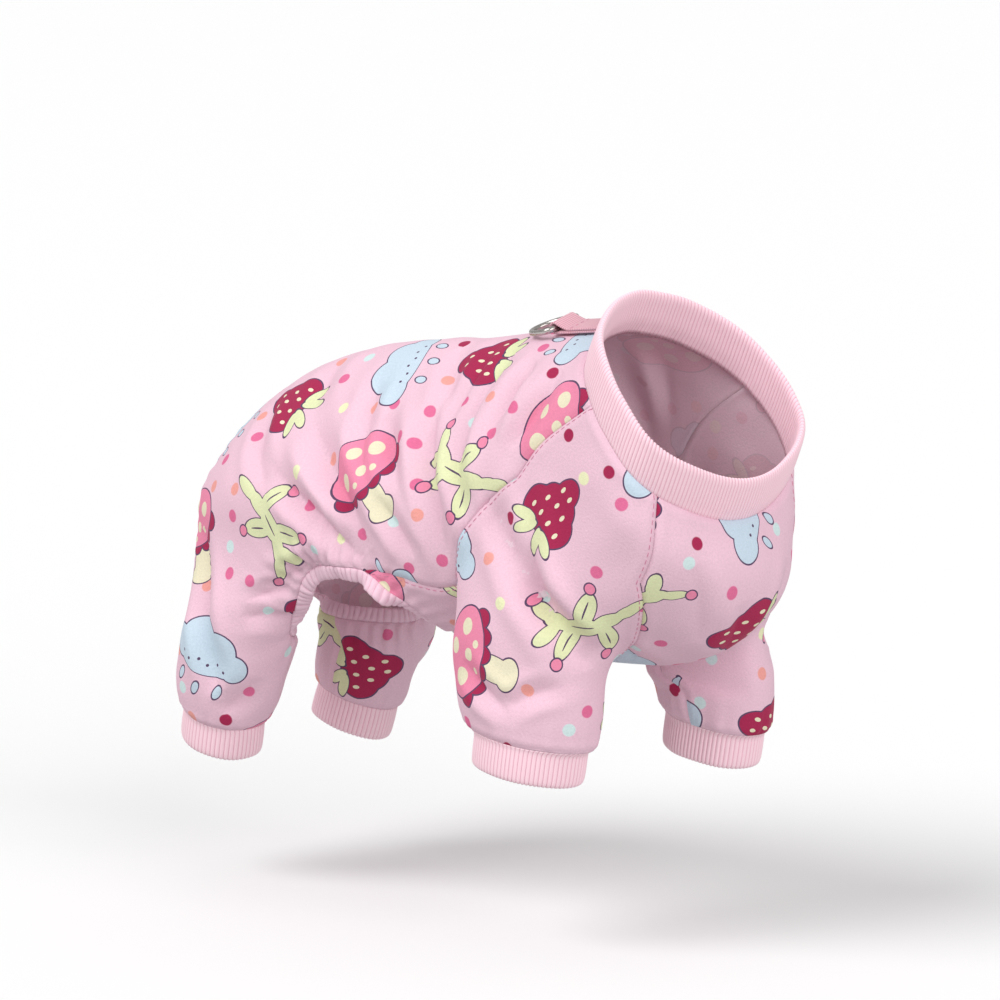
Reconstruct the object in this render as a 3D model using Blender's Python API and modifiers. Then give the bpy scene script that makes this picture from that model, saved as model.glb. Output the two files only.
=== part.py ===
"""A four-legged jumpsuit for a small dog, in soft printed jersey with rib-knit trims.

Units are metres. +X runs towards the neck opening, +Y to the left side, +Z up.
The origin is on the inside of the back, on the middle line a little behind the neck seam,
where the garment sits when it is worn. All sizes below are measured from the nape, the
middle of the neck seam at the back, and the finished pieces are moved to the origin last.

The cloth is one smooth surface: a coarse cage of quads for the right half is mirrored
and subdivided, the left legs lean forward, folds push it in along its normals, and each
cut piece then takes its own faces and a cloth thickness. The trims are lofted on from the
edges of that surface. Columns of the cage run from the neck seam (0) to the tail
(REAR_COL). Rows run from the middle of the back (0) down to the middle of the belly
(BELLY_ROW) or down a hind leg.
"""

import math

import bmesh
import bpy
import numpy as np
from mathutils import Matrix, Vector
from mathutils.bvhtree import BVHTree

# Driving sizes of the garment
BACK_LENGTH = 0.195
TORSO_DEPTH = 0.127
TORSO_WIDTH = 0.098
NECK_WIDTH = 0.098
NECK_DROP = 0.0685
NECK_REACH = 0.059
SLEEVE_LENGTH = 0.151
SLEEVE_BULK_LONG = 0.062
SLEEVE_BULK_WIDE = 0.046
SLEEVE_TOE_IN = math.radians(16)
LEG_LENGTH = 0.164
LEG_BULK_LONG = 0.050
LEG_BULK_WIDE = 0.044
LEG_TOE_IN = 0.0
LEFT_SLEEVE_LEAN = 0.025
LEFT_LEG_LEAN = 0.012
SEAT_BEHIND_NAPE = 0.020
SEAT_BELOW_NAPE = 0.0037

# Cloth, folds and trims
CLOTH = 0.0018
SEAM_GAP = 0.0003
FOLD_DEPTH = 0.0030
FOLD_WIDTH = 0.0080
RIB_CLOTH = 0.0026
NECKBAND_HEIGHT = 0.0150
NECKBAND_LEAN = 0.0065
FRONT_CUFF_HEIGHT = 0.0140
FRONT_CUFF_LENGTH = 0.0430
FRONT_CUFF_WIDTH = 0.0340
HIND_CUFF_HEIGHT = 0.0132
HIND_CUFF_LENGTH = 0.0340
HIND_CUFF_WIDTH = 0.0290
BINDING_WIDTH = 0.0060
BINDING_SWELL = 0.0007

# Leash tab and ring
TAB_WIDTH = 0.0116
TAB_LENGTH = 0.0210
TAB_CLOTH = 0.0011
TAB_OFFSET = 0.0090
TAB_ROLL = math.radians(15)
TAB_PITCH = math.radians(6)
RING_WIRE = 0.0024
RING_WIDTH = 0.0172
RING_DEPTH = 0.0150
RING_CORNER = 0.0026
RING_SAG = math.radians(7)
RING_PLAY = 0.0003
SEAT_GAP = 0.0003

# Columns and rows of the cage that carry a seam or an edge
SHOULDER_COL = 3
ARMPIT_COL = 6
OPENING_COL = 10
THIGH_COL = 12
REAR_COL = 17
SIDE_ROW = 3
SEAM_ROW = 6
SHOULDER_ROW = 8
FRONT_ROW = 10
BELLY_ROW = 12
HIP_ROW = 8
LEVELS = 1

# Guide lines of the cage: the row each runs along, and the angle round the neck seam, in
# degrees from the nape, at which it starts
GUIDE_ROWS = {"back": 0, "side": SIDE_ROW, "seam": SEAM_ROW, "shoulder": SHOULDER_ROW,
              "front": FRONT_ROW, "belly": BELLY_ROW}
NECK_ANGLES = {"back": 0, "side": 40, "seam": 68, "shoulder": 94, "front": 124, "belly": 180}

# Places along the guide lines: a column of the cage, then x as a share of BACK_LENGTH, y as
# a share of half TORSO_WIDTH and z as a share of TORSO_DEPTH
GUIDES = {
    "back": (
        # column, x, y, z
        (3, -0.145, 0.00, -0.012),
        (6, -0.325, 0.00, -0.045),
        (8, -0.440, 0.00, -0.060),
        (10, -0.555, 0.00, -0.080),
        (12, -0.675, 0.00, -0.122),
        (14, -0.795, 0.00, -0.190),
        (16, -0.920, 0.00, -0.320),
        (17, -0.980, 0.00, -0.420),
    ),
    "side": (
        (3, -0.100, 0.78, -0.165),
        (6, -0.310, 1.00, -0.420),
        (8, -0.440, 1.01, -0.440),
        (10, -0.565, 1.00, -0.460),
        (12, -0.690, 0.97, -0.480),
        (14, -0.825, 0.94, -0.510),
        (16, -0.970, 0.68, -0.555),
        (17, -1.012, 0.42, -0.570),
    ),
    "seam": (
        (3, -0.030, 0.95, -0.345),
        (5, -0.185, 1.07, -0.600),
        (6, -0.215, 0.93, -0.760),
        (8, -0.325, 0.97, -0.770),
        (10, -0.435, 1.00, -0.745),
        (12, -0.610, 1.00, -0.765),
        (14, -0.790, 1.00, -0.800),
        (16, -0.980, 0.78, -0.815),
        (17, -1.015, 0.46, -0.830),
    ),
    "shoulder": (
        (3, 0.100, 1.00, -0.520),
        (6, -0.103, 0.36, -0.948),
        (8, -0.262, 0.55, -0.935),
        (10, -0.365, 0.92, -0.830),
    ),
    "front": (
        (3, 0.240, 0.85, -0.650),
        (6, 0.055, 0.34, -0.958),
        (8, -0.150, 0.26, -0.985),
        (10, -0.342, 0.50, -0.945),
    ),
    "belly": (
        (2, 0.345, 0.00, -0.700),
        (4, 0.305, 0.00, -0.900),
        (6, 0.150, 0.00, -0.990),
        (8, -0.080, 0.00, -0.998),
        (10, -0.315, 0.00, -0.980),
    ),
}

# Rings round a sleeve. Drop is a share of SLEEVE_LENGTH, forward of BACK_LENGTH and out of
# half TORSO_WIDTH; length and width are shares of the sleeve's bulk, and the slopes are
# those of the ring's plane along it and outwards.
SLEEVE_RINGS = (
    # drop, forward, out, length, width, slope along, slope out
    (0.780, -0.063, 0.79, 1.00, 0.92, -0.02, 0.45),
    (0.870, -0.060, 0.785, 0.97, 0.92, -0.08, 0.15),
    (0.950, -0.057, 0.78, 0.93, 0.92, -0.14, 0.02),
    (1.000, -0.052, 0.78, 0.82, 0.82, -0.15, 0.00),
)
# Rings round a hind leg, with the drop as a share of LEG_LENGTH
LEG_RINGS = (
    # drop, forward, out, length, width, slope along, slope out
    (0.785, -0.860, 0.73, 1.04, 1.00, -0.06, 0.05),
    (0.875, -0.885, 0.71, 1.01, 1.00, -0.14, 0.00),
    (0.950, -0.908, 0.69, 0.95, 0.94, -0.22, -0.06),
    (1.000, -0.920, 0.67, 0.76, 0.76, -0.27, -0.10),
)
# Direction of each of a ring's points, in degrees from its front, 90 being outwards
SLEEVE_ANGLES = (150, 120, 90, 60, 30, 6, -16, -42, -72, -97, -124, -153, -176, -194)
LEG_ANGLES = (-5, 38, 82, 125, 169, 212, 241, 269, 298, 326)

# Folds pressed into the cloth, seen from the side: from, by way of and to, with x as a share
# of BACK_LENGTH and z of TORSO_DEPTH, then width and depth as shares of FOLD_WIDTH and
# FOLD_DEPTH
FOLDS = (
    # x, z, x, z, x, z, width, depth
    (-0.33, -0.20, -0.31, -0.40, -0.23, -0.66, 1.0, 0.80),
    (-0.45, -0.28, -0.41, -0.40, -0.34, -0.55, 0.9, 0.55),
    (-0.66, -0.30, -0.52, -0.52, -0.42, -0.68, 1.0, 0.85),
    (-0.74, -0.42, -0.60, -0.58, -0.47, -0.72, 0.9, 0.75),
    (-0.80, -0.80, -0.70, -0.80, -0.60, -0.75, 0.8, 0.60),
    (-0.82, -0.92, -0.75, -0.92, -0.68, -0.88, 0.8, 0.55),
    (-0.10, -0.10, -0.12, -0.20, -0.13, -0.32, 0.7, 0.55),
    (-0.22, -0.12, -0.22, -0.26, -0.18, -0.44, 0.8, 0.50),
    (-0.13, -0.48, -0.03, -0.70, 0.08, -0.93, 1.1, 1.00),
    (-0.01, -0.46, 0.02, -0.68, 0.11, -0.90, 0.9, 0.70),
    (-0.94, -0.68, -0.90, -0.90, -0.86, -1.16, 0.9, 0.80),
    (-0.14, -0.94, -0.10, -1.02, -0.04, -1.10, 0.9, 0.60),
)

COLOURS = {
    # red, green and blue in linear light, roughness, metallic
    "printed_jersey": ((0.82, 0.58, 0.68), 0.85, 0.0),
    "pink_rib_knit": ((0.86, 0.53, 0.62), 0.90, 0.0),
    "gathered_jersey": ((0.80, 0.54, 0.64), 0.85, 0.0),
    "strap_cloth": ((0.72, 0.46, 0.50), 0.80, 0.0),
    "nickel_plate": ((0.62, 0.60, 0.58), 0.25, 1.0),
}

BACK_PANEL, CHEST_PANEL, SLEEVE_PANEL = range(3)


def clear_scene():
    for old in list(bpy.data.objects):
        bpy.data.objects.remove(old, do_unlink=True)


def material(name):
    """The Principled material of a cloth, knit or metal."""
    if name in bpy.data.materials:
        return bpy.data.materials[name]
    colour, roughness, metallic = COLOURS[name]
    made = bpy.data.materials.new(name)
    made.use_nodes = True
    shader = made.node_tree.nodes["Principled BSDF"]
    shader.inputs["Base Color"].default_value = (*colour, 1)
    shader.inputs["Roughness"].default_value = roughness
    shader.inputs["Metallic"].default_value = metallic
    return made


def add_object(name, mesh, material_name):
    mesh.name = name
    mesh.materials.clear()
    mesh.materials.append(material(material_name))
    mesh.shade_smooth()
    mesh.set_sharp_from_angle(angle=math.radians(50))
    obj = bpy.data.objects.new(name, mesh)
    bpy.data.collections["dog_jumpsuit"].objects.link(obj)
    return obj


def evaluated_mesh(obj):
    """The object's mesh with its modifiers applied; the object itself is removed."""
    bpy.context.scene.collection.objects.link(obj)
    bpy.context.view_layer.update()
    mesh = bpy.data.meshes.new_from_object(
        obj.evaluated_get(bpy.context.evaluated_depsgraph_get())
    )
    bpy.data.objects.remove(obj, do_unlink=True)
    return mesh


def smooth_curve(stations, points, at):
    """Value at one station of a curve that runs smoothly through the points."""
    stations = np.asarray(stations, float)
    points = np.asarray(points, float)
    slopes = np.gradient(points, stations, axis=0)
    k = int(np.clip(np.searchsorted(stations, at) - 1, 0, len(stations) - 2))
    step = stations[k + 1] - stations[k]
    t = (at - stations[k]) / step
    start = points[k] * (1 + 2 * t) * (1 - t) ** 2 + slopes[k] * step * t * (1 - t) ** 2
    end = points[k + 1] * t * t * (3 - 2 * t) - slopes[k + 1] * step * t * t * (1 - t)
    return start + end


def smooth_step(value, low, high):
    t = np.clip((value - low) / (high - low), 0, 1)
    return t * t * (3 - 2 * t)


def neck_seam(degrees):
    """Point of the neck seam, an inclined oval that bows forward at the sides."""
    turn = math.radians(degrees)
    along = (1 - math.cos(turn)) / 2
    bow = math.sin(turn) ** 2
    x = NECK_REACH * (along + 0.10 * bow)
    z = -NECK_DROP * (along + 0.04 * bow)
    return np.array([x, NECK_WIDTH / 2 * math.sin(turn), z])


def guide_point(name, column):
    """Point of a guide line at a column, with y measured outwards."""
    rows = [(0, *neck_seam(NECK_ANGLES[name]))]
    for station, x, y, z in GUIDES[name]:
        rows.append((station, x * BACK_LENGTH, y * TORSO_WIDTH / 2, z * TORSO_DEPTH))
    rows = np.array(rows)
    return smooth_curve(rows[:, 0], rows[:, 1:], column)


def limb_rings(table, angles, limb_length, bulk_long, bulk_wide, toe_in):
    """Points of each ring round a sleeve or leg, its front turned inwards by toe_in."""
    rings = []
    for drop, forward, out, long_share, wide_share, slope_along, slope_out in table:
        centre = (forward * BACK_LENGTH, out * TORSO_WIDTH / 2, -drop * limb_length)
        points = []
        for angle in np.radians(angles):
            along = bulk_long / 2 * long_share * math.cos(angle)
            across = bulk_wide / 2 * wide_share * math.sin(angle)
            x = along * math.cos(toe_in) + across * math.sin(toe_in)
            y = across * math.cos(toe_in) - along * math.sin(toe_in)
            points.append(np.add(centre, (x, y, slope_along * x + slope_out * y)))
        rings.append(points)
    return rings


def column_points(column, leg_rings):
    """Points down one column: round the torso, or over the hip and down to the leg."""
    names = list(GUIDE_ROWS)
    if column > OPENING_COL:
        names = names[:3]
    rows = [GUIDE_ROWS[name] for name in names]
    points = [guide_point(name, column) for name in names]
    last = rows[-1]
    other_side = np.array([1, -1, 1])
    if column <= OPENING_COL:
        rows.append(2 * BELLY_ROW - FRONT_ROW)
        points.append(points[-2] * other_side)
    if column >= THIGH_COL:
        last = HIP_ROW
        rows += [HIP_ROW, HIP_ROW + 1]
        points += [ring[column - THIGH_COL] for ring in leg_rings[:2]]
    rows.insert(0, -rows[1])
    points.insert(0, points[1] * other_side)
    return {row: smooth_curve(rows, points, row) for row in range(last + 1)}


def make_cage():
    """Right half of the garment as a coarse cage. Each face's material is its panel."""
    sleeve_rings = limb_rings(SLEEVE_RINGS, SLEEVE_ANGLES, SLEEVE_LENGTH,
                              SLEEVE_BULK_LONG, SLEEVE_BULK_WIDE, SLEEVE_TOE_IN)
    leg_rings = limb_rings(LEG_RINGS, LEG_ANGLES, LEG_LENGTH,
                           LEG_BULK_LONG, LEG_BULK_WIDE, LEG_TOE_IN)
    bm = bmesh.new()
    verts = {}

    def add(key, point):
        verts[key] = bm.verts.new((point[0], -point[1], point[2]))

    def face(keys, panel):
        bm.faces.new([verts[key] for key in keys]).material_index = panel

    def patch(columns, rows, panel):
        for i in columns:
            for j in rows:
                face([(i, j), (i + 1, j), (i + 1, j + 1), (i, j + 1)], panel)

    def tube(rings, panel, order):
        for upper, lower in zip(rings, rings[1:]):
            for k in range(len(upper)):
                n = (k + 1) % len(upper)
                face([upper[n], upper[k], lower[k], lower[n]][::order], panel)

    for column in range(REAR_COL + 1):
        for row, point in column_points(column, leg_rings).items():
            under_arm = SHOULDER_COL < column < ARMPIT_COL and SEAM_ROW < row < FRONT_ROW
            if not under_arm:
                add((column, row), point)
    patch(range(REAR_COL), range(SEAM_ROW), BACK_PANEL)
    patch(range(THIGH_COL, REAR_COL), range(SEAM_ROW, HIP_ROW), BACK_PANEL)
    patch(range(SHOULDER_COL), range(SEAM_ROW, FRONT_ROW), SLEEVE_PANEL)
    patch(range(ARMPIT_COL, OPENING_COL), range(SEAM_ROW, FRONT_ROW), CHEST_PANEL)
    patch(range(OPENING_COL), range(FRONT_ROW, BELLY_ROW), CHEST_PANEL)

    armhole = [(SHOULDER_COL, j) for j in range(SEAM_ROW, FRONT_ROW + 1)]
    armhole += [(i, FRONT_ROW) for i in range(SHOULDER_COL + 1, ARMPIT_COL + 1)]
    armhole += [(ARMPIT_COL, j) for j in range(FRONT_ROW - 1, SEAM_ROW - 1, -1)]
    armhole += [(i, SEAM_ROW) for i in range(ARMPIT_COL - 1, SHOULDER_COL, -1)]
    sleeve = [armhole]
    for ring, points in enumerate(sleeve_rings):
        sleeve.append([("sleeve", ring, k) for k in range(len(armhole))])
        for key, point in zip(sleeve[-1], points):
            add(key, point)
    tube(sleeve, SLEEVE_PANEL, 1)

    leg = []
    for ring, points in enumerate(leg_rings):
        leg.append([("leg", ring, k) for k in range(len(LEG_ANGLES))])
        if ring == 0:
            hip = [(column, HIP_ROW) for column in range(THIGH_COL, REAR_COL + 1)]
            leg[0][:len(hip)] = hip
        for key, point in zip(leg[-1], points):
            if key not in verts:
                add(key, point)
    tube(leg, BACK_PANEL, -1)

    mesh = bpy.data.meshes.new("cage")
    bm.to_mesh(mesh)
    bm.free()
    return bpy.data.objects.new("cage", mesh)


def smooth_surface(levels):
    """The cage mirrored and subdivided."""
    cage = make_cage()
    mirror = cage.modifiers.new("Mirror", "MIRROR")
    mirror.use_axis = (False, True, False)
    mirror.merge_threshold = 0.00001
    subdivide = cage.modifiers.new("Subdivide", "SUBSURF")
    subdivide.levels = levels
    subdivide.render_levels = levels
    return evaluated_mesh(cage)


def read_points(mesh):
    values = np.empty(3 * len(mesh.vertices))
    mesh.vertices.foreach_get("co", values)
    return values.reshape(-1, 3)


def read_normals(mesh):
    values = np.empty(3 * len(mesh.vertices))
    mesh.vertex_normals.foreach_get("vector", values)
    return values.reshape(-1, 3)


def write_points(mesh, points):
    mesh.vertices.foreach_set("co", points.ravel())
    mesh.update()


def lean_left_legs(points):
    """Steps the left sleeve and the left hind leg forward, more so towards their hems."""
    x, y, z = points.T
    belly = TORSO_DEPTH
    beside = smooth_step(y, 0.1 * TORSO_WIDTH / 2, 0.6 * TORSO_WIDTH / 2)
    below = smooth_step(-z, 1.00 * belly, 1.10 * belly) * (y > 0)
    drop = smooth_step(-z, 0.59 * belly, 1.09 * belly)
    lean = np.where(x > -0.4 * BACK_LENGTH, LEFT_SLEEVE_LEAN, LEFT_LEG_LEAN)
    points[:, 0] += np.maximum(beside, below) * drop * lean


def press_folds(points, normals):
    """Presses each fold of the table into both sides of the garment."""
    outward = smooth_step(normals[:, 1] * np.sign(points[:, 1]), 0.1, 0.5)
    depth = np.zeros(len(points))
    for x0, z0, x1, z1, x2, z2, width, share in FOLDS:
        route = np.array([(x0, z0), (x1, z1), (x2, z2)]) * (BACK_LENGTH, TORSO_DEPTH)
        steps = np.linspace(0, 1, 13)
        line = np.array([smooth_curve((0, 0.5, 1), route, t) for t in steps])
        away = np.hypot(points[:, None, 0] - line[:, 0], points[:, None, 2] - line[:, 1])
        nearest = away.argmin(axis=1)
        along = steps[nearest]
        shape = np.exp(-(away.min(axis=1) / (width * FOLD_WIDTH)) ** 2)
        depth += share * FOLD_DEPTH * shape * (0.25 + 0.75 * np.sin(math.pi * along))
    points -= normals * (depth * outward)[:, None]


def edge_use(faces):
    """How the faces run along each edge: the directed edges that no neighbour runs back."""
    runs = set()
    for face in faces:
        for a, b in zip(face, np.roll(face, -1)):
            runs.add((int(a), int(b)))
    return [(a, b) for a, b in runs if (b, a) not in runs]


def edge_loops(faces):
    """The open edges of the faces, chained into closed loops."""
    following = dict(edge_use(faces))
    loops = []
    while following:
        start, here = following.popitem()
        loop = [start]
        while here != start:
            loop.append(here)
            here = following.pop(here)
        loops.append(np.array(loop))
    return loops


def inward_shift(points, normals, faces, distance):
    """Moves of the faces' edge vertices that bring each open edge in by a distance."""
    sides = {}
    for a, b in edge_use(faces):
        run = points[b] - points[a]
        for v in (a, b):
            side = np.cross(normals[v], run)
            sides.setdefault(v, []).append(side / np.linalg.norm(side))
    shift = {}
    for v, found in sides.items():
        total = np.sum(found, axis=0)
        share = 1 + np.dot(found[0], found[1])
        shift[v] = total * distance / max(share, 0.5)
    return shift


def panel_mesh(points, normals, faces):
    """A cut piece of cloth: its outer face, its inner face and the cut edge between them.

    The cut edge's triangles follow the numbers of the surface's vertices, so that the facing
    edges of two neighbours twist alike and keep their gap.
    """
    outer = points.copy()
    for v, move in inward_shift(points, normals, faces, SEAM_GAP / 2).items():
        outer[v] += move
    used = sorted({int(v) for face in faces for v in face})
    place = {v: k for k, v in enumerate(used)}
    count = len(used)
    verts = [outer[v] for v in used] + [outer[v] - CLOTH * normals[v] for v in used]
    quads = []
    for face in faces:
        ring = [place[int(v)] for v in face]
        quads.append(ring)
        quads.append([k + count for k in reversed(ring)])
    for a, b in edge_use(faces):
        i, j = place[a], place[b]
        if a < b:
            quads += [[j, i, j + count], [i, i + count, j + count]]
        else:
            quads += [[j, i, i + count], [j, i + count, j + count]]
    mesh = bpy.data.meshes.new("panel")
    mesh.from_pydata(verts, [], quads)
    return mesh


def ring_mesh(sections, loop):
    """A closed band: a closed outline at each vertex of an edge loop, joined in order.

    Each outline starts on the cloth's outer face and ends on its inner face, and the strip
    between the two twists like the cloth's cut edge that it faces.
    """
    loops, sides = len(sections), len(sections[0])
    quads = []
    for i in range(loops):
        n = (i + 1) % loops
        here, there = i * sides, n * sides
        for j in range(sides - 1):
            quads.append([here + j, there + j, there + j + 1, here + j + 1])
        inner, inner_next = here + sides - 1, there + sides - 1
        if loop[i] < loop[n]:
            quads += [[inner, inner_next, here], [inner_next, there, here]]
        else:
            quads += [[inner, inner_next, there], [inner, there, here]]
    mesh = bpy.data.meshes.new("band")
    mesh.from_pydata(np.reshape(sections, (-1, 3)), [], quads)
    made = bmesh.new()
    made.from_mesh(mesh)
    bmesh.ops.recalc_face_normals(made, faces=made.faces)
    made.to_mesh(mesh)
    made.free()
    return mesh


def loop_frames(loop, points, normals):
    """Place, outward normal and direction off the cloth at each vertex of an edge loop."""
    place = points[loop]
    normal = normals[loop]
    run = np.roll(place, -1, axis=0) - np.roll(place, 1, axis=0)
    off = np.cross(run, normal)
    off /= np.linalg.norm(off, axis=1)[:, None]
    return place, normal, off


def neckband(loop, points, normals):
    """Rib collar that stands up from the neck seam and leans forward."""
    place, normal, off = loop_frames(loop, points, normals)
    base = place + off * SEAM_GAP / 2
    rise = np.array([NECKBAND_LEAN, 0, NECKBAND_HEIGHT])
    run = np.roll(place, -1, axis=0) - np.roll(place, 1, axis=0)
    face = np.cross(rise, run)
    face *= np.sign(np.sum(face * normal, axis=1))[:, None]
    face /= np.linalg.norm(face, axis=1)[:, None]
    outline = (
        # share of the rise, outward and inward places as shares of the knit's thickness
        (0.45, 0.10), (0.88, 0.00), (1.00, -0.50), (0.88, -1.00),
    )
    sections = [base]
    for share, out in outline:
        sections.append(base + rise * share + face * out * RIB_CLOTH)
    sections.append(base - normal * RIB_CLOTH)
    return ring_mesh(np.stack(sections, axis=1), loop)


def cuff(loop, points, normals, height, length, width, toe_in, lean):
    """Rib cuff sewn to a hem: it draws in at the seam and hangs straight."""
    place, normal, off = loop_frames(loop, points, normals)
    base = place + off * SEAM_GAP / 2
    centre = base.mean(axis=0)
    side = np.sign(centre[1])
    spoke = base - centre
    turn = toe_in * -side
    along = np.array([math.cos(turn), math.sin(turn), 0])
    across = np.array([-math.sin(turn), math.cos(turn), 0])
    a, b = spoke @ along, spoke @ across
    shrink_a = length / (a.max() - a.min())
    shrink_b = width / (b.max() - b.min())
    narrow = np.outer(a * shrink_a, along) + np.outer(b * shrink_b, across)
    narrow[:, 2] = spoke[:, 2] * shrink_a
    plane = np.linalg.svd(spoke)[2][2]
    down = plane * -np.sign(plane[2])
    down = down * height + np.array([lean, 0, 0])
    out = narrow * (1, 1, 0)
    out /= np.linalg.norm(out, axis=1)[:, None]
    outline = (
        # share of the height, share of the way to the cuff's own girth, inward places
        (0.15, 0.85, 0.00), (0.55, 1.00, -0.06), (0.97, 1.04, 0.05), (0.97, 1.04, 0.95),
        (0.25, 0.92, 1.00),
    )
    sections = [base]
    for share, drawn, thick in outline:
        ring = centre + spoke * (1 - drawn) + narrow * drawn + down * share
        sections.append(ring - out * thick * RIB_CLOTH)
    sections.append(base - normal * RIB_CLOTH)
    return ring_mesh(np.stack(sections, axis=1), loop)


def opening_binding(loop, points, normals):
    """Elastic binding that carries the cloth's edge on into the opening."""
    place, normal, off = loop_frames(loop, points, normals)
    off = (np.roll(off, 1, axis=0) + 2 * off + np.roll(off, -1, axis=0)) / 4
    start = SEAM_GAP / 2
    outline = (
        # distance off the cloth, height above its face
        (start, 0), (0.6 * BINDING_WIDTH, BINDING_SWELL), (BINDING_WIDTH, -CLOTH / 2),
        (0.6 * BINDING_WIDTH, -CLOTH - BINDING_SWELL), (start, -CLOTH),
    )
    sections = [place + off * away + normal * up for away, up in outline]
    return ring_mesh(np.stack(sections, axis=1), loop)


def ring_route():
    """Centre line of the ring's wire: a straight bar on Y and a bow behind it."""
    half = RING_WIDTH / 2
    bow = RING_DEPTH - RING_CORNER
    left = []
    for turn in np.linspace(0, math.pi / 2, 4):
        along = half - RING_CORNER * (1 - math.sin(turn))
        left.append((-RING_CORNER * (1 - math.cos(turn)), along))
    for turn in np.linspace(0, math.pi / 2, 7)[1:]:
        left.append((-RING_CORNER - bow * math.sin(turn), half * math.cos(turn)))
    right = [(x, -y) for x, y in reversed(left[:-1])]
    return [(x, y, 0) for x, y in left + right]


def wire_mesh(route):
    """The ring's wire, bent along a closed route."""
    curve = bpy.data.curves.new("wire", "CURVE")
    curve.dimensions = "3D"
    curve.bevel_depth = RING_WIRE / 2
    curve.bevel_resolution = 2
    spline = curve.splines.new("POLY")
    spline.points.add(len(route) - 1)
    for point, place in zip(spline.points, route):
        point.co = (*place, 1)
    spline.use_cyclic_u = True
    return evaluated_mesh(bpy.data.objects.new("wire", curve))


def tab_mesh():
    """The folded strap seen from its side, with an eye round the ring's bar, given width."""
    eye = RING_WIRE / 2 + RING_PLAY
    outer = eye + TAB_CLOTH
    slab = 2 * TAB_CLOTH
    curve = bpy.data.curves.new("strap", "CURVE")
    curve.dimensions = "2D"
    curve.fill_mode = "BOTH"
    curve.extrude = TAB_WIDTH / 2
    outline = []
    for degrees in np.linspace(-90, -260, 10):
        turn = math.radians(degrees)
        outline.append((outer * math.cos(turn), outer * math.sin(turn)))
    outline.append((2.3 * outer, slab - outer))
    outline.append((TAB_LENGTH, slab - outer))
    outline.append((TAB_LENGTH, -outer))
    hole = [(eye * math.cos(t), eye * math.sin(t)) for t in np.linspace(0, 2 * math.pi, 17)[:-1]]
    for route in (outline, hole):
        spline = curve.splines.new("POLY")
        spline.points.add(len(route) - 1)
        for point, (x, y) in zip(spline.points, route):
            point.co = (x, y, 0, 1)
        spline.use_cyclic_u = True
    mesh = evaluated_mesh(bpy.data.objects.new("strap", curve))
    made = bmesh.new()
    made.from_mesh(mesh)
    bmesh.ops.remove_doubles(made, verts=made.verts, dist=0.00001)
    bmesh.ops.rotate(made, verts=made.verts, matrix=Matrix.Rotation(math.pi / 2, 3, "X"))
    made.to_mesh(mesh)
    made.free()
    return mesh


def hardware_place(cloth_mesh, tab, ring):
    """Where the ring's bar lies, so that strap and ring rest just off the cloth."""
    tree = BVHTree.FromPolygons(
        [v.co for v in cloth_mesh.vertices], [tuple(p.vertices) for p in cloth_mesh.polygons]
    )
    seam = neck_seam(math.degrees(math.asin(TAB_OFFSET / (NECK_WIDTH / 2))))
    turn = Matrix.Rotation(TAB_ROLL, 4, "X") @ Matrix.Rotation(-TAB_PITCH, 4, "Y")
    place = Matrix.Translation((seam[0] - SEAT_GAP - TAB_LENGTH, -TAB_OFFSET, 0)) @ turn
    sag = Matrix.Rotation(-RING_SAG, 4, "Y")
    lift = 0.0
    down = Vector((0, 0, -1))
    for mesh, local in ((tab, Matrix.Identity(4)), (ring, sag)):
        for vert in mesh.vertices:
            spot = place @ local @ vert.co
            hit = tree.ray_cast(Vector((spot.x, spot.y, 0.05)), down)[0]
            if hit:
                lift = max(lift, hit.z + SEAT_GAP - spot.z)
    place = Matrix.Translation((0, 0, lift)) @ place
    return place, place @ sag


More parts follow.
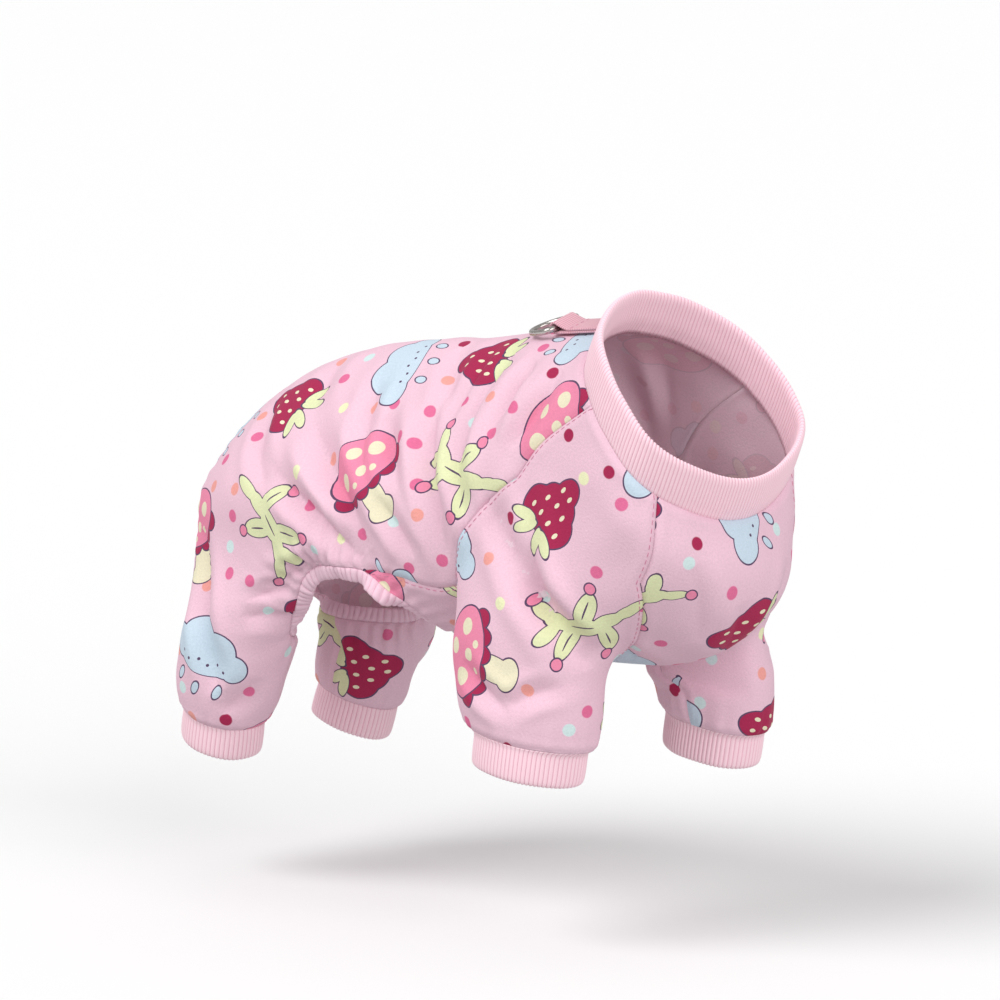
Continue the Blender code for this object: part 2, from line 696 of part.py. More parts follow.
def build():
    clear_scene()
    collection = bpy.data.collections.new("dog_jumpsuit")
    bpy.context.scene.collection.children.link(collection)

    surface = smooth_surface(LEVELS)
    points = read_points(surface)
    lean_left_legs(points)
    write_points(surface, points)
    press_folds(points, read_normals(surface))
    write_points(surface, points)
    normals = read_normals(surface)

    faces = {BACK_PANEL: [], CHEST_PANEL: [], "sleeve_right": [], "sleeve_left": []}
    whole = []
    for polygon in surface.polygons:
        ring = list(polygon.vertices)
        whole.append(ring)
        key = polygon.material_index
        if key == SLEEVE_PANEL:
            key = "sleeve_left" if polygon.center.y > 0 else "sleeve_right"
        faces[key].append(ring)
    names = {"body_panel": BACK_PANEL, "chest_belly_panel": CHEST_PANEL,
             "sleeve_right": "sleeve_right", "sleeve_left": "sleeve_left"}
    for name, key in names.items():
        add_object(name, panel_mesh(points, normals, faces[key]), "printed_jersey")

    for loop in edge_loops(whole):
        x, y, z = points[loop].mean(axis=0)
        side = "left" if y > 0 else "right"
        if z > -TORSO_DEPTH / 2 and x > -BACK_LENGTH / 2:
            band = neckband(loop, points, normals)
            add_object("neckband", band, "pink_rib_knit")
        elif -z < 0.95 * SLEEVE_LENGTH and abs(y) < 0.2 * TORSO_WIDTH / 2:
            binding = opening_binding(loop, points, normals)
            add_object("opening_binding", binding, "gathered_jersey")
        elif x > -BACK_LENGTH / 2:
            made = cuff(loop, points, normals, FRONT_CUFF_HEIGHT, FRONT_CUFF_LENGTH,
                        FRONT_CUFF_WIDTH, SLEEVE_TOE_IN, 0)
            add_object("front_cuff_" + side, made, "pink_rib_knit")
        else:
            made = cuff(loop, points, normals, HIND_CUFF_HEIGHT, HIND_CUFF_LENGTH,
                        HIND_CUFF_WIDTH, LEG_TOE_IN, 0)
            add_object("hind_cuff_" + side, made, "pink_rib_knit")

    tab = tab_mesh()
    ring = wire_mesh(ring_route())
    tab_place, ring_place = hardware_place(bpy.data.meshes["body_panel"], tab, ring)
    add_object("leash_tab", tab, "strap_cloth").matrix_world = tab_place
    add_object("leash_ring", ring, "nickel_plate").matrix_world = ring_place
    for obj in collection.objects:
        obj.location += Vector((SEAT_BEHIND_NAPE, 0, SEAT_BELOW_NAPE))


build()
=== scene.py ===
import math

import bmesh
import bpy
import numpy as np
from mathutils import Matrix, Vector, noise
from mathutils.bvhtree import BVHTree
from mathutils.kdtree import KDTree


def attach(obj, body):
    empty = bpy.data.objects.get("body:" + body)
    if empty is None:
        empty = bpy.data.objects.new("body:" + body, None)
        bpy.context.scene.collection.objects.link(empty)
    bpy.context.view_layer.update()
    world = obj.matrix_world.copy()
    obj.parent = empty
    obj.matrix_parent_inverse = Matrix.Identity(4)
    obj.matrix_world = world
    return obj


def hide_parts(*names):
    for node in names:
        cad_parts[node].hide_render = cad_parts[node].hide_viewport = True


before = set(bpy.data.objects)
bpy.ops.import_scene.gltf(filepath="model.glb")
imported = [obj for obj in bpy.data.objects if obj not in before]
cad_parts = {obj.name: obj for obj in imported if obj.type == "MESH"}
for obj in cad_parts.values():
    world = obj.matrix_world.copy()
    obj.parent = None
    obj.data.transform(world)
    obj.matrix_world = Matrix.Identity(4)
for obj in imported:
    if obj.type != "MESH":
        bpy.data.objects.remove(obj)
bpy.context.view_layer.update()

# Jersey body, worn shape
# The garment is sewn from four pieces of soft printed jersey and shown as it is worn. Its
# shape comes first, as one smooth surface: a coarse cage for the right half, mirrored and
# subdivided, the left legs stepped forward, then folds pressed in along the normals.
BACK_LENGTH = 0.195
TORSO_DEPTH = 0.127
TORSO_WIDTH = 0.098
NECK_WIDTH = 0.098
NECK_DROP = 0.0685
NECK_REACH = 0.059
SLEEVE_LENGTH = 0.151
SLEEVE_BULK = (0.062, 0.046)
SLEEVE_TOE_IN = math.radians(16)
LEG_LENGTH = 0.164
LEG_BULK = (0.050, 0.044)
LEFT_SLEEVE_LEAN = 0.025
LEFT_LEG_LEAN = 0.012
SEAT = np.array([0.020, 0.0, 0.0037])
FLAT_LEVELS = 2
JERSEY_THICKNESS = 0.0010
SEAM_DIP = 0.0006
SEAM_SWELL = 0.0002
UNDULATION = 0.0007
UNDULATION_PITCH = 0.016
EDGE_GATHERS = {
    # pitch, depth and reach of the gathers at each edge
    "opening_binding": (0.0056, 0.0014, 0.0085),
    "front_cuff": (0.0070, 0.0005, 0.0060),
    "hind_cuff": (0.0070, 0.0005, 0.0060),
    "neckband": (0.0120, 0.0002, 0.0040),
}
GATHER_START = 0.0012
SEAM_DIP_WIDTH = 0.0013
SEAM_SWELL_WIDTH = 0.0016
SEAM_SWELL_PLACE = 0.0032

SHOULDER_COL = 3
ARMPIT_COL = 6
OPENING_COL = 10
THIGH_COL = 12
REAR_COL = 17
SIDE_ROW = 3
SEAM_ROW = 6
SHOULDER_ROW = 8
FRONT_ROW = 10
BELLY_ROW = 12
HIP_ROW = 8
UNDERARM_POINT = 8
INSEAM_POINT = 7
BACK_CLOTH, CHEST_CLOTH, SLEEVE_RIGHT, SLEEVE_LEFT = range(4)
CUT_SHIFTS = ((0.0, 0.0), (0.31, 0.17), (0.63, 0.42), (0.05, 0.71))

GUIDE_ROWS = {"back": 0, "side": SIDE_ROW, "seam": SEAM_ROW, "shoulder": SHOULDER_ROW,
              "front": FRONT_ROW, "belly": BELLY_ROW}
NECK_ANGLES = {"back": 0, "side": 40, "seam": 68, "shoulder": 94, "front": 124, "belly": 180}
GUIDES = {
    "back": (
        # column, x share of BACK_LENGTH, y of half TORSO_WIDTH, z of TORSO_DEPTH
        (3, -0.145, 0.00, -0.012),
        (6, -0.325, 0.00, -0.045),
        (8, -0.440, 0.00, -0.060),
        (10, -0.555, 0.00, -0.080),
        (12, -0.675, 0.00, -0.122),
        (14, -0.795, 0.00, -0.190),
        (16, -0.920, 0.00, -0.320),
        (17, -0.980, 0.00, -0.420),
    ),
    "side": (
        (3, -0.100, 0.78, -0.165),
        (6, -0.310, 1.00, -0.420),
        (8, -0.440, 1.01, -0.440),
        (10, -0.565, 1.00, -0.460),
        (12, -0.690, 0.97, -0.480),
        (14, -0.825, 0.94, -0.510),
        (16, -0.970, 0.68, -0.555),
        (17, -1.012, 0.42, -0.570),
    ),
    "seam": (
        (3, -0.030, 0.95, -0.345),
        (5, -0.185, 1.07, -0.600),
        (6, -0.215, 0.93, -0.760),
        (8, -0.325, 0.97, -0.770),
        (10, -0.435, 1.00, -0.745),
        (12, -0.610, 1.00, -0.765),
        (14, -0.790, 1.00, -0.800),
        (16, -0.980, 0.78, -0.815),
        (17, -1.015, 0.46, -0.830),
    ),
    "shoulder": (
        (3, 0.100, 1.00, -0.520),
        (6, -0.103, 0.36, -0.948),
        (8, -0.262, 0.55, -0.935),
        (10, -0.365, 0.92, -0.830),
    ),
    "front": (
        (3, 0.240, 0.85, -0.650),
        (6, 0.055, 0.34, -0.958),
        (8, -0.150, 0.26, -0.985),
        (10, -0.342, 0.50, -0.945),
    ),
    "belly": (
        (2, 0.345, 0.00, -0.700),
        (4, 0.305, 0.00, -0.900),
        (6, 0.150, 0.00, -0.990),
        (8, -0.080, 0.00, -0.998),
        (10, -0.315, 0.00, -0.980),
    ),
}
SLEEVE_RINGS = (
    # drop, forward, out, length, width, slope along, slope out
    (0.780, -0.063, 0.79, 1.00, 0.92, -0.02, 0.45),
    (0.870, -0.060, 0.785, 0.97, 0.92, -0.08, 0.15),
    (0.950, -0.057, 0.78, 0.93, 0.92, -0.14, 0.02),
    (1.000, -0.052, 0.78, 0.82, 0.82, -0.15, 0.00),
)
LEG_RINGS = (
    # drop, forward, out, length, width, slope along, slope out
    (0.785, -0.860, 0.73, 1.04, 1.00, -0.06, 0.05),
    (0.875, -0.885, 0.71, 1.01, 1.00, -0.14, 0.00),
    (0.950, -0.908, 0.69, 0.95, 0.94, -0.22, -0.06),
    (1.000, -0.920, 0.67, 0.76, 0.76, -0.27, -0.10),
)
SLEEVE_ANGLES = (150, 120, 90, 60, 30, 6, -16, -42, -72, -97, -124, -153, -176, -194)
LEG_ANGLES = (-5, 38, 82, 125, 169, 212, 241, 269, 298, 326)

FOLD_DEPTH = 0.0060
FOLD_WIDTH = 0.0062
SIDE_FOLDS = (
    # side of the garment (1 left, -1 right, 0 both), width and depth as shares of FOLD_WIDTH
    # and FOLD_DEPTH, then its route seen from the side: x as a share of BACK_LENGTH and z of
    # TORSO_DEPTH
    (-1, 1.10, 0.95, ((-0.313, -0.250), (-0.300, -0.362), (-0.243, -0.524), (-0.215, -0.700))),
    (-1, 0.90, 0.70, ((-0.443, -0.290), (-0.407, -0.363), (-0.335, -0.500))),
    (-1, 1.10, 1.00, ((-0.640, -0.340), (-0.504, -0.520), (-0.420, -0.690))),
    (-1, 0.95, 0.95, ((-0.710, -0.470), (-0.572, -0.599), (-0.445, -0.725))),
    (-1, 0.80, 0.70, ((-0.720, -0.840), (-0.620, -0.785), (-0.550, -0.742))),
    (-1, 0.75, 0.65, ((-0.760, -0.895), (-0.700, -0.868), (-0.645, -0.842))),
    (-1, 0.70, 0.60, ((-0.770, -0.950), (-0.720, -0.942), (-0.680, -0.940))),
    (-1, 0.90, 0.50, ((-0.370, -0.095), (-0.330, -0.165), (-0.290, -0.250))),
    (-1, 0.75, 0.70, ((-0.095, -0.095), (-0.112, -0.173), (-0.127, -0.320))),
    (-1, 0.75, 0.60, ((0.006, -0.105), (-0.031, -0.233), (-0.070, -0.340))),
    (-1, 0.85, 0.75, ((-0.190, -0.080), (-0.215, -0.240), (-0.190, -0.430), (-0.160, -0.560))),
    (-1, 0.80, 0.60, ((-0.255, -0.110), (-0.262, -0.260), (-0.225, -0.400))),
    (-1, 0.90, 0.60, ((-0.520, -0.200), (-0.500, -0.300), (-0.455, -0.430))),
    (-1, 0.80, 0.55, ((-0.390, -0.520), (-0.345, -0.600), (-0.300, -0.690))),
    (-1, 0.90, 0.50, ((-0.820, -0.300), (-0.780, -0.420), (-0.700, -0.560))),
    (-1, 1.10, 1.10, ((-0.120, -0.490), (-0.022, -0.675), (0.040, -0.800), (0.100, -0.960))),
    (-1, 0.90, 0.80, ((-0.010, -0.480), (0.016, -0.695), (0.048, -0.786), (0.100, -0.890))),
    (-1, 1.00, 0.80, ((-0.930, -0.700), (-0.889, -0.890), (-0.850, -1.087), (-0.840, -1.220))),
    (-1, 0.80, 0.60, ((-0.770, -1.150), (-0.801, -1.219), (-0.845, -1.270))),
    (-1, 1.10, 0.40, ((-0.700, -0.150), (-0.680, -0.230), (-0.660, -0.310))),
    (-1, 0.80, 0.60, ((-0.140, -0.960), (-0.090, -1.030), (-0.030, -1.090))),
    (-1, 0.70, 0.45, ((-0.030, -1.080), (0.010, -1.040), (0.060, -1.010))),
    (1, 1.05, 0.90, ((-0.280, -0.230), (-0.285, -0.370), (-0.240, -0.520), (-0.205, -0.690))),
    (1, 0.90, 0.60, ((-0.410, -0.260), (-0.385, -0.370), (-0.320, -0.520))),
    (1, 1.10, 0.95, ((-0.610, -0.320), (-0.500, -0.480), (-0.400, -0.660))),
    (1, 1.00, 0.80, ((-0.730, -0.450), (-0.600, -0.570), (-0.470, -0.700))),
    (1, 0.80, 0.65, ((-0.740, -0.820), (-0.640, -0.780), (-0.560, -0.735))),
    (1, 0.75, 0.60, ((-0.770, -0.900), (-0.710, -0.880), (-0.650, -0.850))),
    (1, 0.75, 0.60, ((-0.075, -0.090), (-0.100, -0.190), (-0.110, -0.330))),
    (1, 0.80, 0.55, ((-0.180, -0.100), (-0.190, -0.250), (-0.165, -0.420))),
    (1, 1.05, 1.00, ((-0.070, -0.510), (0.050, -0.690), (0.130, -0.820), (0.190, -0.960))),
    (1, 0.90, 0.70, ((0.030, -0.500), (0.070, -0.690), (0.130, -0.800), (0.190, -0.900))),
    (1, 1.00, 0.75, ((-0.900, -0.700), (-0.850, -0.900), (-0.800, -1.090), (-0.780, -1.220))),
    (1, 0.80, 0.50, ((-0.710, -1.150), (-0.745, -1.220), (-0.790, -1.270))),
)
FRONT_FOLDS = (
    # the same seen from the front, with y as a share of half TORSO_WIDTH
    (0, 0.90, 0.45, ((-0.560, -0.640), (-0.420, -0.780), (-0.260, -0.890))),
    (0, 0.90, 0.40, ((0.520, -0.660), (0.400, -0.790), (0.240, -0.900))),
    (0, 1.00, 0.30, ((-0.100, -0.760), (-0.040, -0.850), (0.060, -0.930))),
)


def smooth_curve(stations, points, at):
    """Value at one station of a curve that runs smoothly through the points."""
    stations = np.asarray(stations, float)
    points = np.asarray(points, float)
    slopes = np.gradient(points, stations, axis=0)
    k = int(np.clip(np.searchsorted(stations, at) - 1, 0, len(stations) - 2))
    step = stations[k + 1] - stations[k]
    t = (at - stations[k]) / step
    start = points[k] * (1 + 2 * t) * (1 - t) ** 2 + slopes[k] * step * t * (1 - t) ** 2
    end = points[k + 1] * t * t * (3 - 2 * t) - slopes[k + 1] * step * t * t * (1 - t)
    return start + end


def smooth_step(value, low, high):
    t = np.clip((value - low) / (high - low), 0, 1)
    return t * t * (3 - 2 * t)


def neck_seam(degrees):
    """Point of the neck seam, an inclined oval that bows forward at the sides."""
    turn = math.radians(degrees)
    along = (1 - math.cos(turn)) / 2
    bow = math.sin(turn) ** 2
    return np.array([NECK_REACH * (along + 0.10 * bow), NECK_WIDTH / 2 * math.sin(turn),
                     -NECK_DROP * (along + 0.04 * bow)])


def guide_point(name, column):
    rows = [(0, *neck_seam(NECK_ANGLES[name]))]
    for station, x, y, z in GUIDES[name]:
        rows.append((station, x * BACK_LENGTH, y * TORSO_WIDTH / 2, z * TORSO_DEPTH))
    rows = np.array(rows)
    return smooth_curve(rows[:, 0], rows[:, 1:], column)


def limb_rings(table, angles, limb_length, bulk, toe_in):
    """Points of each ring round a sleeve or leg, its front turned inwards by toe_in."""
    rings = []
    for drop, forward, out, long_share, wide_share, slope_along, slope_out in table:
        centre = (forward * BACK_LENGTH, out * TORSO_WIDTH / 2, -drop * limb_length)
        points = []
        for angle in np.radians(angles):
            along = bulk[0] / 2 * long_share * math.cos(angle)
            across = bulk[1] / 2 * wide_share * math.sin(angle)
            x = along * math.cos(toe_in) + across * math.sin(toe_in)
            y = across * math.cos(toe_in) - along * math.sin(toe_in)
            points.append(np.add(centre, (x, y, slope_along * x + slope_out * y)))
        rings.append(points)
    return rings


def column_points(column, leg_rings):
    """Points down one column: round the torso, or over the hip and down to the leg."""
    names = list(GUIDE_ROWS)
    if column > OPENING_COL:
        names = names[:3]
    rows = [GUIDE_ROWS[name] for name in names]
    points = [guide_point(name, column) for name in names]
    last = rows[-1]
    other_side = np.array([1, -1, 1])
    if column <= OPENING_COL:
        rows.append(2 * BELLY_ROW - FRONT_ROW)
        points.append(points[-2] * other_side)
    if column >= THIGH_COL:
        last = HIP_ROW
        rows += [HIP_ROW, HIP_ROW + 1]
        points += [ring[column - THIGH_COL] for ring in leg_rings[:2]]
    rows.insert(0, -rows[1])
    points.insert(0, points[1] * other_side)
    return {row: smooth_curve(rows, points, row) for row in range(last + 1)}


def make_cage():
    """Right half of the garment as a coarse cage. Each face's material is its cloth."""
    sleeve_rings = limb_rings(SLEEVE_RINGS, SLEEVE_ANGLES, SLEEVE_LENGTH, SLEEVE_BULK,
                              SLEEVE_TOE_IN)
    leg_rings = limb_rings(LEG_RINGS, LEG_ANGLES, LEG_LENGTH, LEG_BULK, 0)
    bm = bmesh.new()
    verts = {}

    def add_vert(key, point):
        verts[key] = bm.verts.new((point[0], -point[1], point[2]))

    def add_face(keys, cloth):
        bm.faces.new([verts[key] for key in keys]).material_index = cloth

    def patch(columns, rows, cloth):
        for i in columns:
            for j in rows:
                add_face([(i, j), (i + 1, j), (i + 1, j + 1), (i, j + 1)], cloth)

    def tube(rings, cloth, order, inseam):
        for upper, lower in zip(rings, rings[1:]):
            for k in range(len(upper)):
                n = (k + 1) % len(upper)
                add_face([upper[n], upper[k], lower[k], lower[n]][::order], cloth)
            bm.edges.get((verts[upper[inseam]], verts[lower[inseam]])).seam = True

    for column in range(REAR_COL + 1):
        for row, point in column_points(column, leg_rings).items():
            if not (SHOULDER_COL < column < ARMPIT_COL and SEAM_ROW < row < FRONT_ROW):
                add_vert((column, row), point)
    patch(range(REAR_COL), range(SEAM_ROW), BACK_CLOTH)
    patch(range(THIGH_COL, REAR_COL), range(SEAM_ROW, HIP_ROW), BACK_CLOTH)
    patch(range(SHOULDER_COL), range(SEAM_ROW, FRONT_ROW), SLEEVE_RIGHT)
    patch(range(ARMPIT_COL, OPENING_COL), range(SEAM_ROW, FRONT_ROW), CHEST_CLOTH)
    patch(range(OPENING_COL), range(FRONT_ROW, BELLY_ROW), CHEST_CLOTH)

    armhole = [(SHOULDER_COL, j) for j in range(SEAM_ROW, FRONT_ROW + 1)]
    armhole += [(i, FRONT_ROW) for i in range(SHOULDER_COL + 1, ARMPIT_COL + 1)]
    armhole += [(ARMPIT_COL, j) for j in range(FRONT_ROW - 1, SEAM_ROW - 1, -1)]
    armhole += [(i, SEAM_ROW) for i in range(ARMPIT_COL - 1, SHOULDER_COL, -1)]
    sleeve = [armhole]
    for ring, points in enumerate(sleeve_rings):
        sleeve.append([("sleeve", ring, k) for k in range(len(armhole))])
        for key, point in zip(sleeve[-1], points):
            add_vert(key, point)
    tube(sleeve, SLEEVE_RIGHT, 1, UNDERARM_POINT)

    leg = []
    for ring, points in enumerate(leg_rings):
        leg.append([("leg", ring, k) for k in range(len(LEG_ANGLES))])
        if ring == 0:
            hip = [(column, HIP_ROW) for column in range(THIGH_COL, REAR_COL + 1)]
            leg[0][:len(hip)] = hip
        for key, point in zip(leg[-1], points):
            if key not in verts:
                add_vert(key, point)
    tube(leg, BACK_CLOTH, -1, INSEAM_POINT)

    mesh = bpy.data.meshes.new("cage")
    bm.to_mesh(mesh)
    bm.free()
    return bpy.data.objects.new("cage", mesh)


def evaluated_mesh(obj):
    """The object's mesh with its modifiers applied; the object itself is removed."""
    bpy.context.scene.collection.objects.link(obj)
    bpy.context.view_layer.update()
    mesh = bpy.data.meshes.new_from_object(
        obj.evaluated_get(bpy.context.evaluated_depsgraph_get())
    )
    bpy.data.objects.remove(obj, do_unlink=True)
    return mesh


def read_points(mesh):
    values = np.empty(3 * len(mesh.vertices))
    mesh.vertices.foreach_get("co", values)
    return values.reshape(-1, 3)


def read_normals(mesh):
    values = np.empty(3 * len(mesh.vertices))
    mesh.vertex_normals.foreach_get("vector", values)
    return values.reshape(-1, 3)


def write_points(mesh, points):
    mesh.vertices.foreach_set("co", points.ravel())
    mesh.update()


def lean_left_legs(points):
    """Steps the left sleeve and the left hind leg forward, more so towards their hems."""
    x, y, z = points.T
    belly = TORSO_DEPTH
    beside = smooth_step(y, 0.1 * TORSO_WIDTH / 2, 0.6 * TORSO_WIDTH / 2)
    below = smooth_step(-z, 1.00 * belly, 1.10 * belly) * (y > 0)
    drop = smooth_step(-z, 0.59 * belly, 1.09 * belly)
    lean = np.where(x > -0.4 * BACK_LENGTH, LEFT_SLEEVE_LEAN, LEFT_LEG_LEAN)
    points[:, 0] += np.maximum(beside, below) * drop * lean


def press_folds(points, normals, folds, axes, across):
    """Presses folds in as they are seen along one axis, with a low swell beside each."""
    facing = normals[:, across] * (np.sign(points[:, 1]) if across == 1 else 1)
    outward = smooth_step(facing, 0.1, 0.5)
    size = np.array([BACK_LENGTH, TORSO_WIDTH / 2, TORSO_DEPTH])[list(axes)]
    depth = np.zeros(len(points))
    for side, width, share, route in folds:
        steps = np.linspace(0, 1, 10 * len(route))
        stations = np.linspace(0, 1, len(route))
        line = np.array([smooth_curve(stations, np.array(route) * size, t) for t in steps])
        away = np.hypot(points[:, axes[0], None] - line[:, 0],
                        points[:, axes[1], None] - line[:, 1])
        along = steps[away.argmin(axis=1)]
        reach = away.min(axis=1) / (width * FOLD_WIDTH)
        shape = 1.2 * np.exp(-1.5 * np.sqrt(reach**2 + 0.03))
        shape -= 0.34 * np.exp(-((reach - 1.45) / 0.62) ** 2)
        shape *= 0.15 + 0.85 * np.sin(math.pi * along) ** 0.8
        depth += share * FOLD_DEPTH * shape * ((points[:, 1] * side > 0) | (side == 0))
    points -= normals * (depth * outward)[:, None]


def quads_of(mesh):
    """Corner vertices, flat cut and cloth number of each face of an all-quad mesh."""
    corners = np.empty(len(mesh.loops), int)
    mesh.loops.foreach_get("vertex_index", corners)
    flat = np.empty(2 * len(mesh.loops))
    mesh.uv_layers["cut"].data.foreach_get("uv", flat)
    cloths = np.empty(len(mesh.polygons), int)
    mesh.polygons.foreach_get("material_index", cloths)
    return corners.reshape(-1, 4), flat.reshape(-1, 4, 2), cloths


def lay_flat(mesh):
    """Lays each piece of cloth flat on the UV map "cut", in metres, its grain along u."""
    sides = {}
    for polygon in mesh.polygons:
        if polygon.material_index == SLEEVE_RIGHT and polygon.center.y > 0:
            polygon.material_index = SLEEVE_LEFT
        for key in polygon.edge_keys:
            sides.setdefault(key, set()).add(polygon.material_index)
    for edge in mesh.edges:
        edge.use_seam = edge.use_seam or len(sides[edge.key]) > 1
    mesh.uv_layers.new(name="cut")
    flat = bpy.data.objects.new("flat", mesh)
    bpy.context.scene.collection.objects.link(flat)
    bpy.context.view_layer.objects.active = flat
    flat.select_set(True)
    bpy.ops.object.mode_set(mode="EDIT")
    bpy.ops.mesh.select_all(action="SELECT")
    bpy.ops.uv.unwrap(method="MINIMUM_STRETCH", margin=0.01)
    bpy.ops.object.mode_set(mode="OBJECT")
    bpy.data.objects.remove(flat, do_unlink=True)
    quads, uv, cloths = quads_of(mesh)
    real = read_points(mesh)[quads]
    cross = np.cross(real[:, 2] - real[:, 0], real[:, 3] - real[:, 1])
    real_area = np.linalg.norm(cross, axis=1) / 2
    a, b = uv[:, 2] - uv[:, 0], uv[:, 3] - uv[:, 1]
    flat_area = np.abs(a[:, 0] * b[:, 1] - a[:, 1] * b[:, 0]) / 2
    for cloth, shift in enumerate(CUT_SHIFTS):
        own = cloths == cloth
        size = math.sqrt(real_area[own].sum() / flat_area[own].sum())
        x = real[own][:, :, 0].ravel()
        places = uv[own].reshape(-1, 2)
        grain = (places - places.mean(axis=0)).T @ (x - x.mean())
        turn = -math.atan2(grain[1], grain[0])
        turned = np.array([[math.cos(turn), -math.sin(turn)], [math.sin(turn), math.cos(turn)]])
        uv[own] = (uv[own] - places.mean(axis=0)) @ turned.T * size + shift
    mesh.uv_layers["cut"].data.foreach_set("uv", uv.ravel())


def finer(mesh):
    """The mesh subdivided once more, with its flat cut; its first vertices stay the same."""
    obj = bpy.data.objects.new("finer", mesh)
    subdivide = obj.modifiers.new("Subdivide", "SUBSURF")
    subdivide.levels = 1
    subdivide.render_levels = 1
    subdivide.uv_smooth = "NONE"
    return evaluated_mesh(obj)


def open_runs(quads):
    """The faces' open edges as they are run by their own face: start, end and corner."""
    start, end = quads.ravel(), np.roll(quads, -1, axis=1).ravel()
    count = quads.max() + 1
    free = ~np.isin(start * count + end, end * count + start)
    return start[free], end[free], np.flatnonzero(free)


def edge_loops(quads):
    """The open edges of the faces, chained into closed loops."""
    start, end, _ = open_runs(quads)
    following = dict(zip(start.tolist(), end.tolist()))
    loops = []
    while following:
        first, here = following.popitem()
        loop = [first]
        while here != first:
            loop.append(here)
            here = following.pop(here)
        loops.append(np.array(loop))
    return loops


def beside_loop(points, loop, reach):
    """Vertices within reach of an edge loop, how far off they are and where along it."""
    line = points[loop]
    near = np.all((points > line.min(axis=0) - reach) & (points < line.max(axis=0) + reach),
                  axis=1)
    near = np.flatnonzero(near)
    square = ((points[near, None] - line[None]) ** 2).sum(axis=2)
    first = square.argmin(axis=1)
    near, first = near[square.min(axis=1) < reach**2], first[square.min(axis=1) < reach**2]
    steps = np.linalg.norm(np.roll(line, -1, axis=0) - line, axis=1)
    length = np.concatenate([[0], np.cumsum(steps)])
    best = np.full(len(near), 1.0)
    along = np.zeros(len(near))
    for k in (first, first - 1):
        a, b = line[k], line[(k + 1) % len(line)]
        share = np.sum((points[near] - a) * (b - a), axis=1) / np.sum((b - a) ** 2, axis=1)
        share = np.clip(share, 0, 1)
        away = np.linalg.norm(a + (b - a) * share[:, None] - points[near], axis=1)
        closer = away < best
        best[closer] = away[closer]
        along[closer] = (length[k % len(line)] + share * steps[k])[closer]
    return near, best, along / length[-1], length[-1]


def gather(points, normals, loop, pitch, depth, reach):
    """Raises gathers that run off an edge loop into the cloth and fade with distance."""
    near, away, turn, length = beside_loop(points, loop, 3.5 * reach)
    turn = 2 * math.pi * turn
    count = round(length / pitch)
    wave = np.sin(count * turn + 1.4 * np.sin(5 * turn + 1) + 0.9 * np.sin(11 * turn))
    wave *= 0.65 + 0.35 * np.sin(7 * turn + 2)
    height = depth * wave * np.exp(-away / reach) * (1 - np.exp(-away / GATHER_START))
    points[near] += normals[near] * height[:, None]


cage = make_cage()
mirror = cage.modifiers.new("Mirror", "MIRROR")
mirror.use_axis = (False, True, False)
mirror.merge_threshold = 0.00001
subdivide = cage.modifiers.new("Subdivide", "SUBSURF")
subdivide.levels = FLAT_LEVELS
subdivide.render_levels = FLAT_LEVELS
surface = evaluated_mesh(cage)
points = read_points(surface)
lean_left_legs(points)
write_points(surface, points)
lay_flat(surface)
inner_sheet = finer(surface)
outer_sheet = finer(inner_sheet.copy())
outer_quads, outer_flat, outer_cloth = quads_of(outer_sheet)
inner_quads, inner_flat, inner_cloth = quads_of(inner_sheet)

points = read_points(outer_sheet)
press_folds(points, read_normals(outer_sheet), SIDE_FOLDS, (0, 2), 1)
write_points(outer_sheet, points)
press_folds(points, read_normals(outer_sheet), FRONT_FOLDS, (1, 2), 0)
write_points(outer_sheet, points)
loops = {}
for loop in edge_loops(outer_quads):
    x, y, z = points[loop].mean(axis=0)
    side = "left" if y > 0 else "right"
    if z > -TORSO_DEPTH / 2 and x > -BACK_LENGTH / 2:
        loops["neckband"] = loop
    elif -z < 0.95 * SLEEVE_LENGTH and abs(y) < 0.2 * TORSO_WIDTH / 2:
        loops["opening_binding"] = loop
    elif x > -BACK_LENGTH / 2:
        loops["front_cuff_" + side] = loop
    else:
        loops["hind_cuff_" + side] = loop
normals = read_normals(outer_sheet)
for name, loop in loops.items():
    pitch, depth, reach = EDGE_GATHERS[name.rsplit("_", 1)[0] if "cuff" in name else name]
    gather(points, normals, loop, pitch, depth, reach)
waves = [noise.noise(Vector(p) / UNDULATION_PITCH) for p in points]
points += normals * (UNDULATION * np.array(waves))[:, None]

sewn = np.zeros(len(points), bool)
for edge in outer_sheet.edges:
    if edge.use_seam:
        sewn[list(edge.vertices)] = True
for loop in loops.values():
    sewn[loop] = True
seam_tree = KDTree(int(sewn.sum()))
for number in np.flatnonzero(sewn):
    seam_tree.insert(points[number], int(number))
seam_tree.balance()
away = np.array([seam_tree.find(p)[2] for p in points])
dip = SEAM_DIP * np.exp(-(away / SEAM_DIP_WIDTH) ** 2)
dip -= SEAM_SWELL * np.exp(-((away - SEAM_SWELL_PLACE) / SEAM_SWELL_WIDTH) ** 2)
points -= normals * dip[:, None]
write_points(outer_sheet, points)
normals = read_normals(outer_sheet)
points += SEAT


# Printed jersey
# Soft single jersey, printed before it was cut: a matt cloth with a faint bloom, pale pink
# with small spots in five colours and outlined motifs about 40 mm long. The wrong side shows
# a pale ghost of the print.
def linear(code):
    """An sRGB hex colour as linear red, green, blue and alpha."""
    shares = [int(code[i:i + 2], 16) / 255 for i in (1, 3, 5)]
    return (*(c / 12.92 if c <= 0.04045 else ((c + 0.055) / 1.055) ** 2.4 for c in shares), 1)


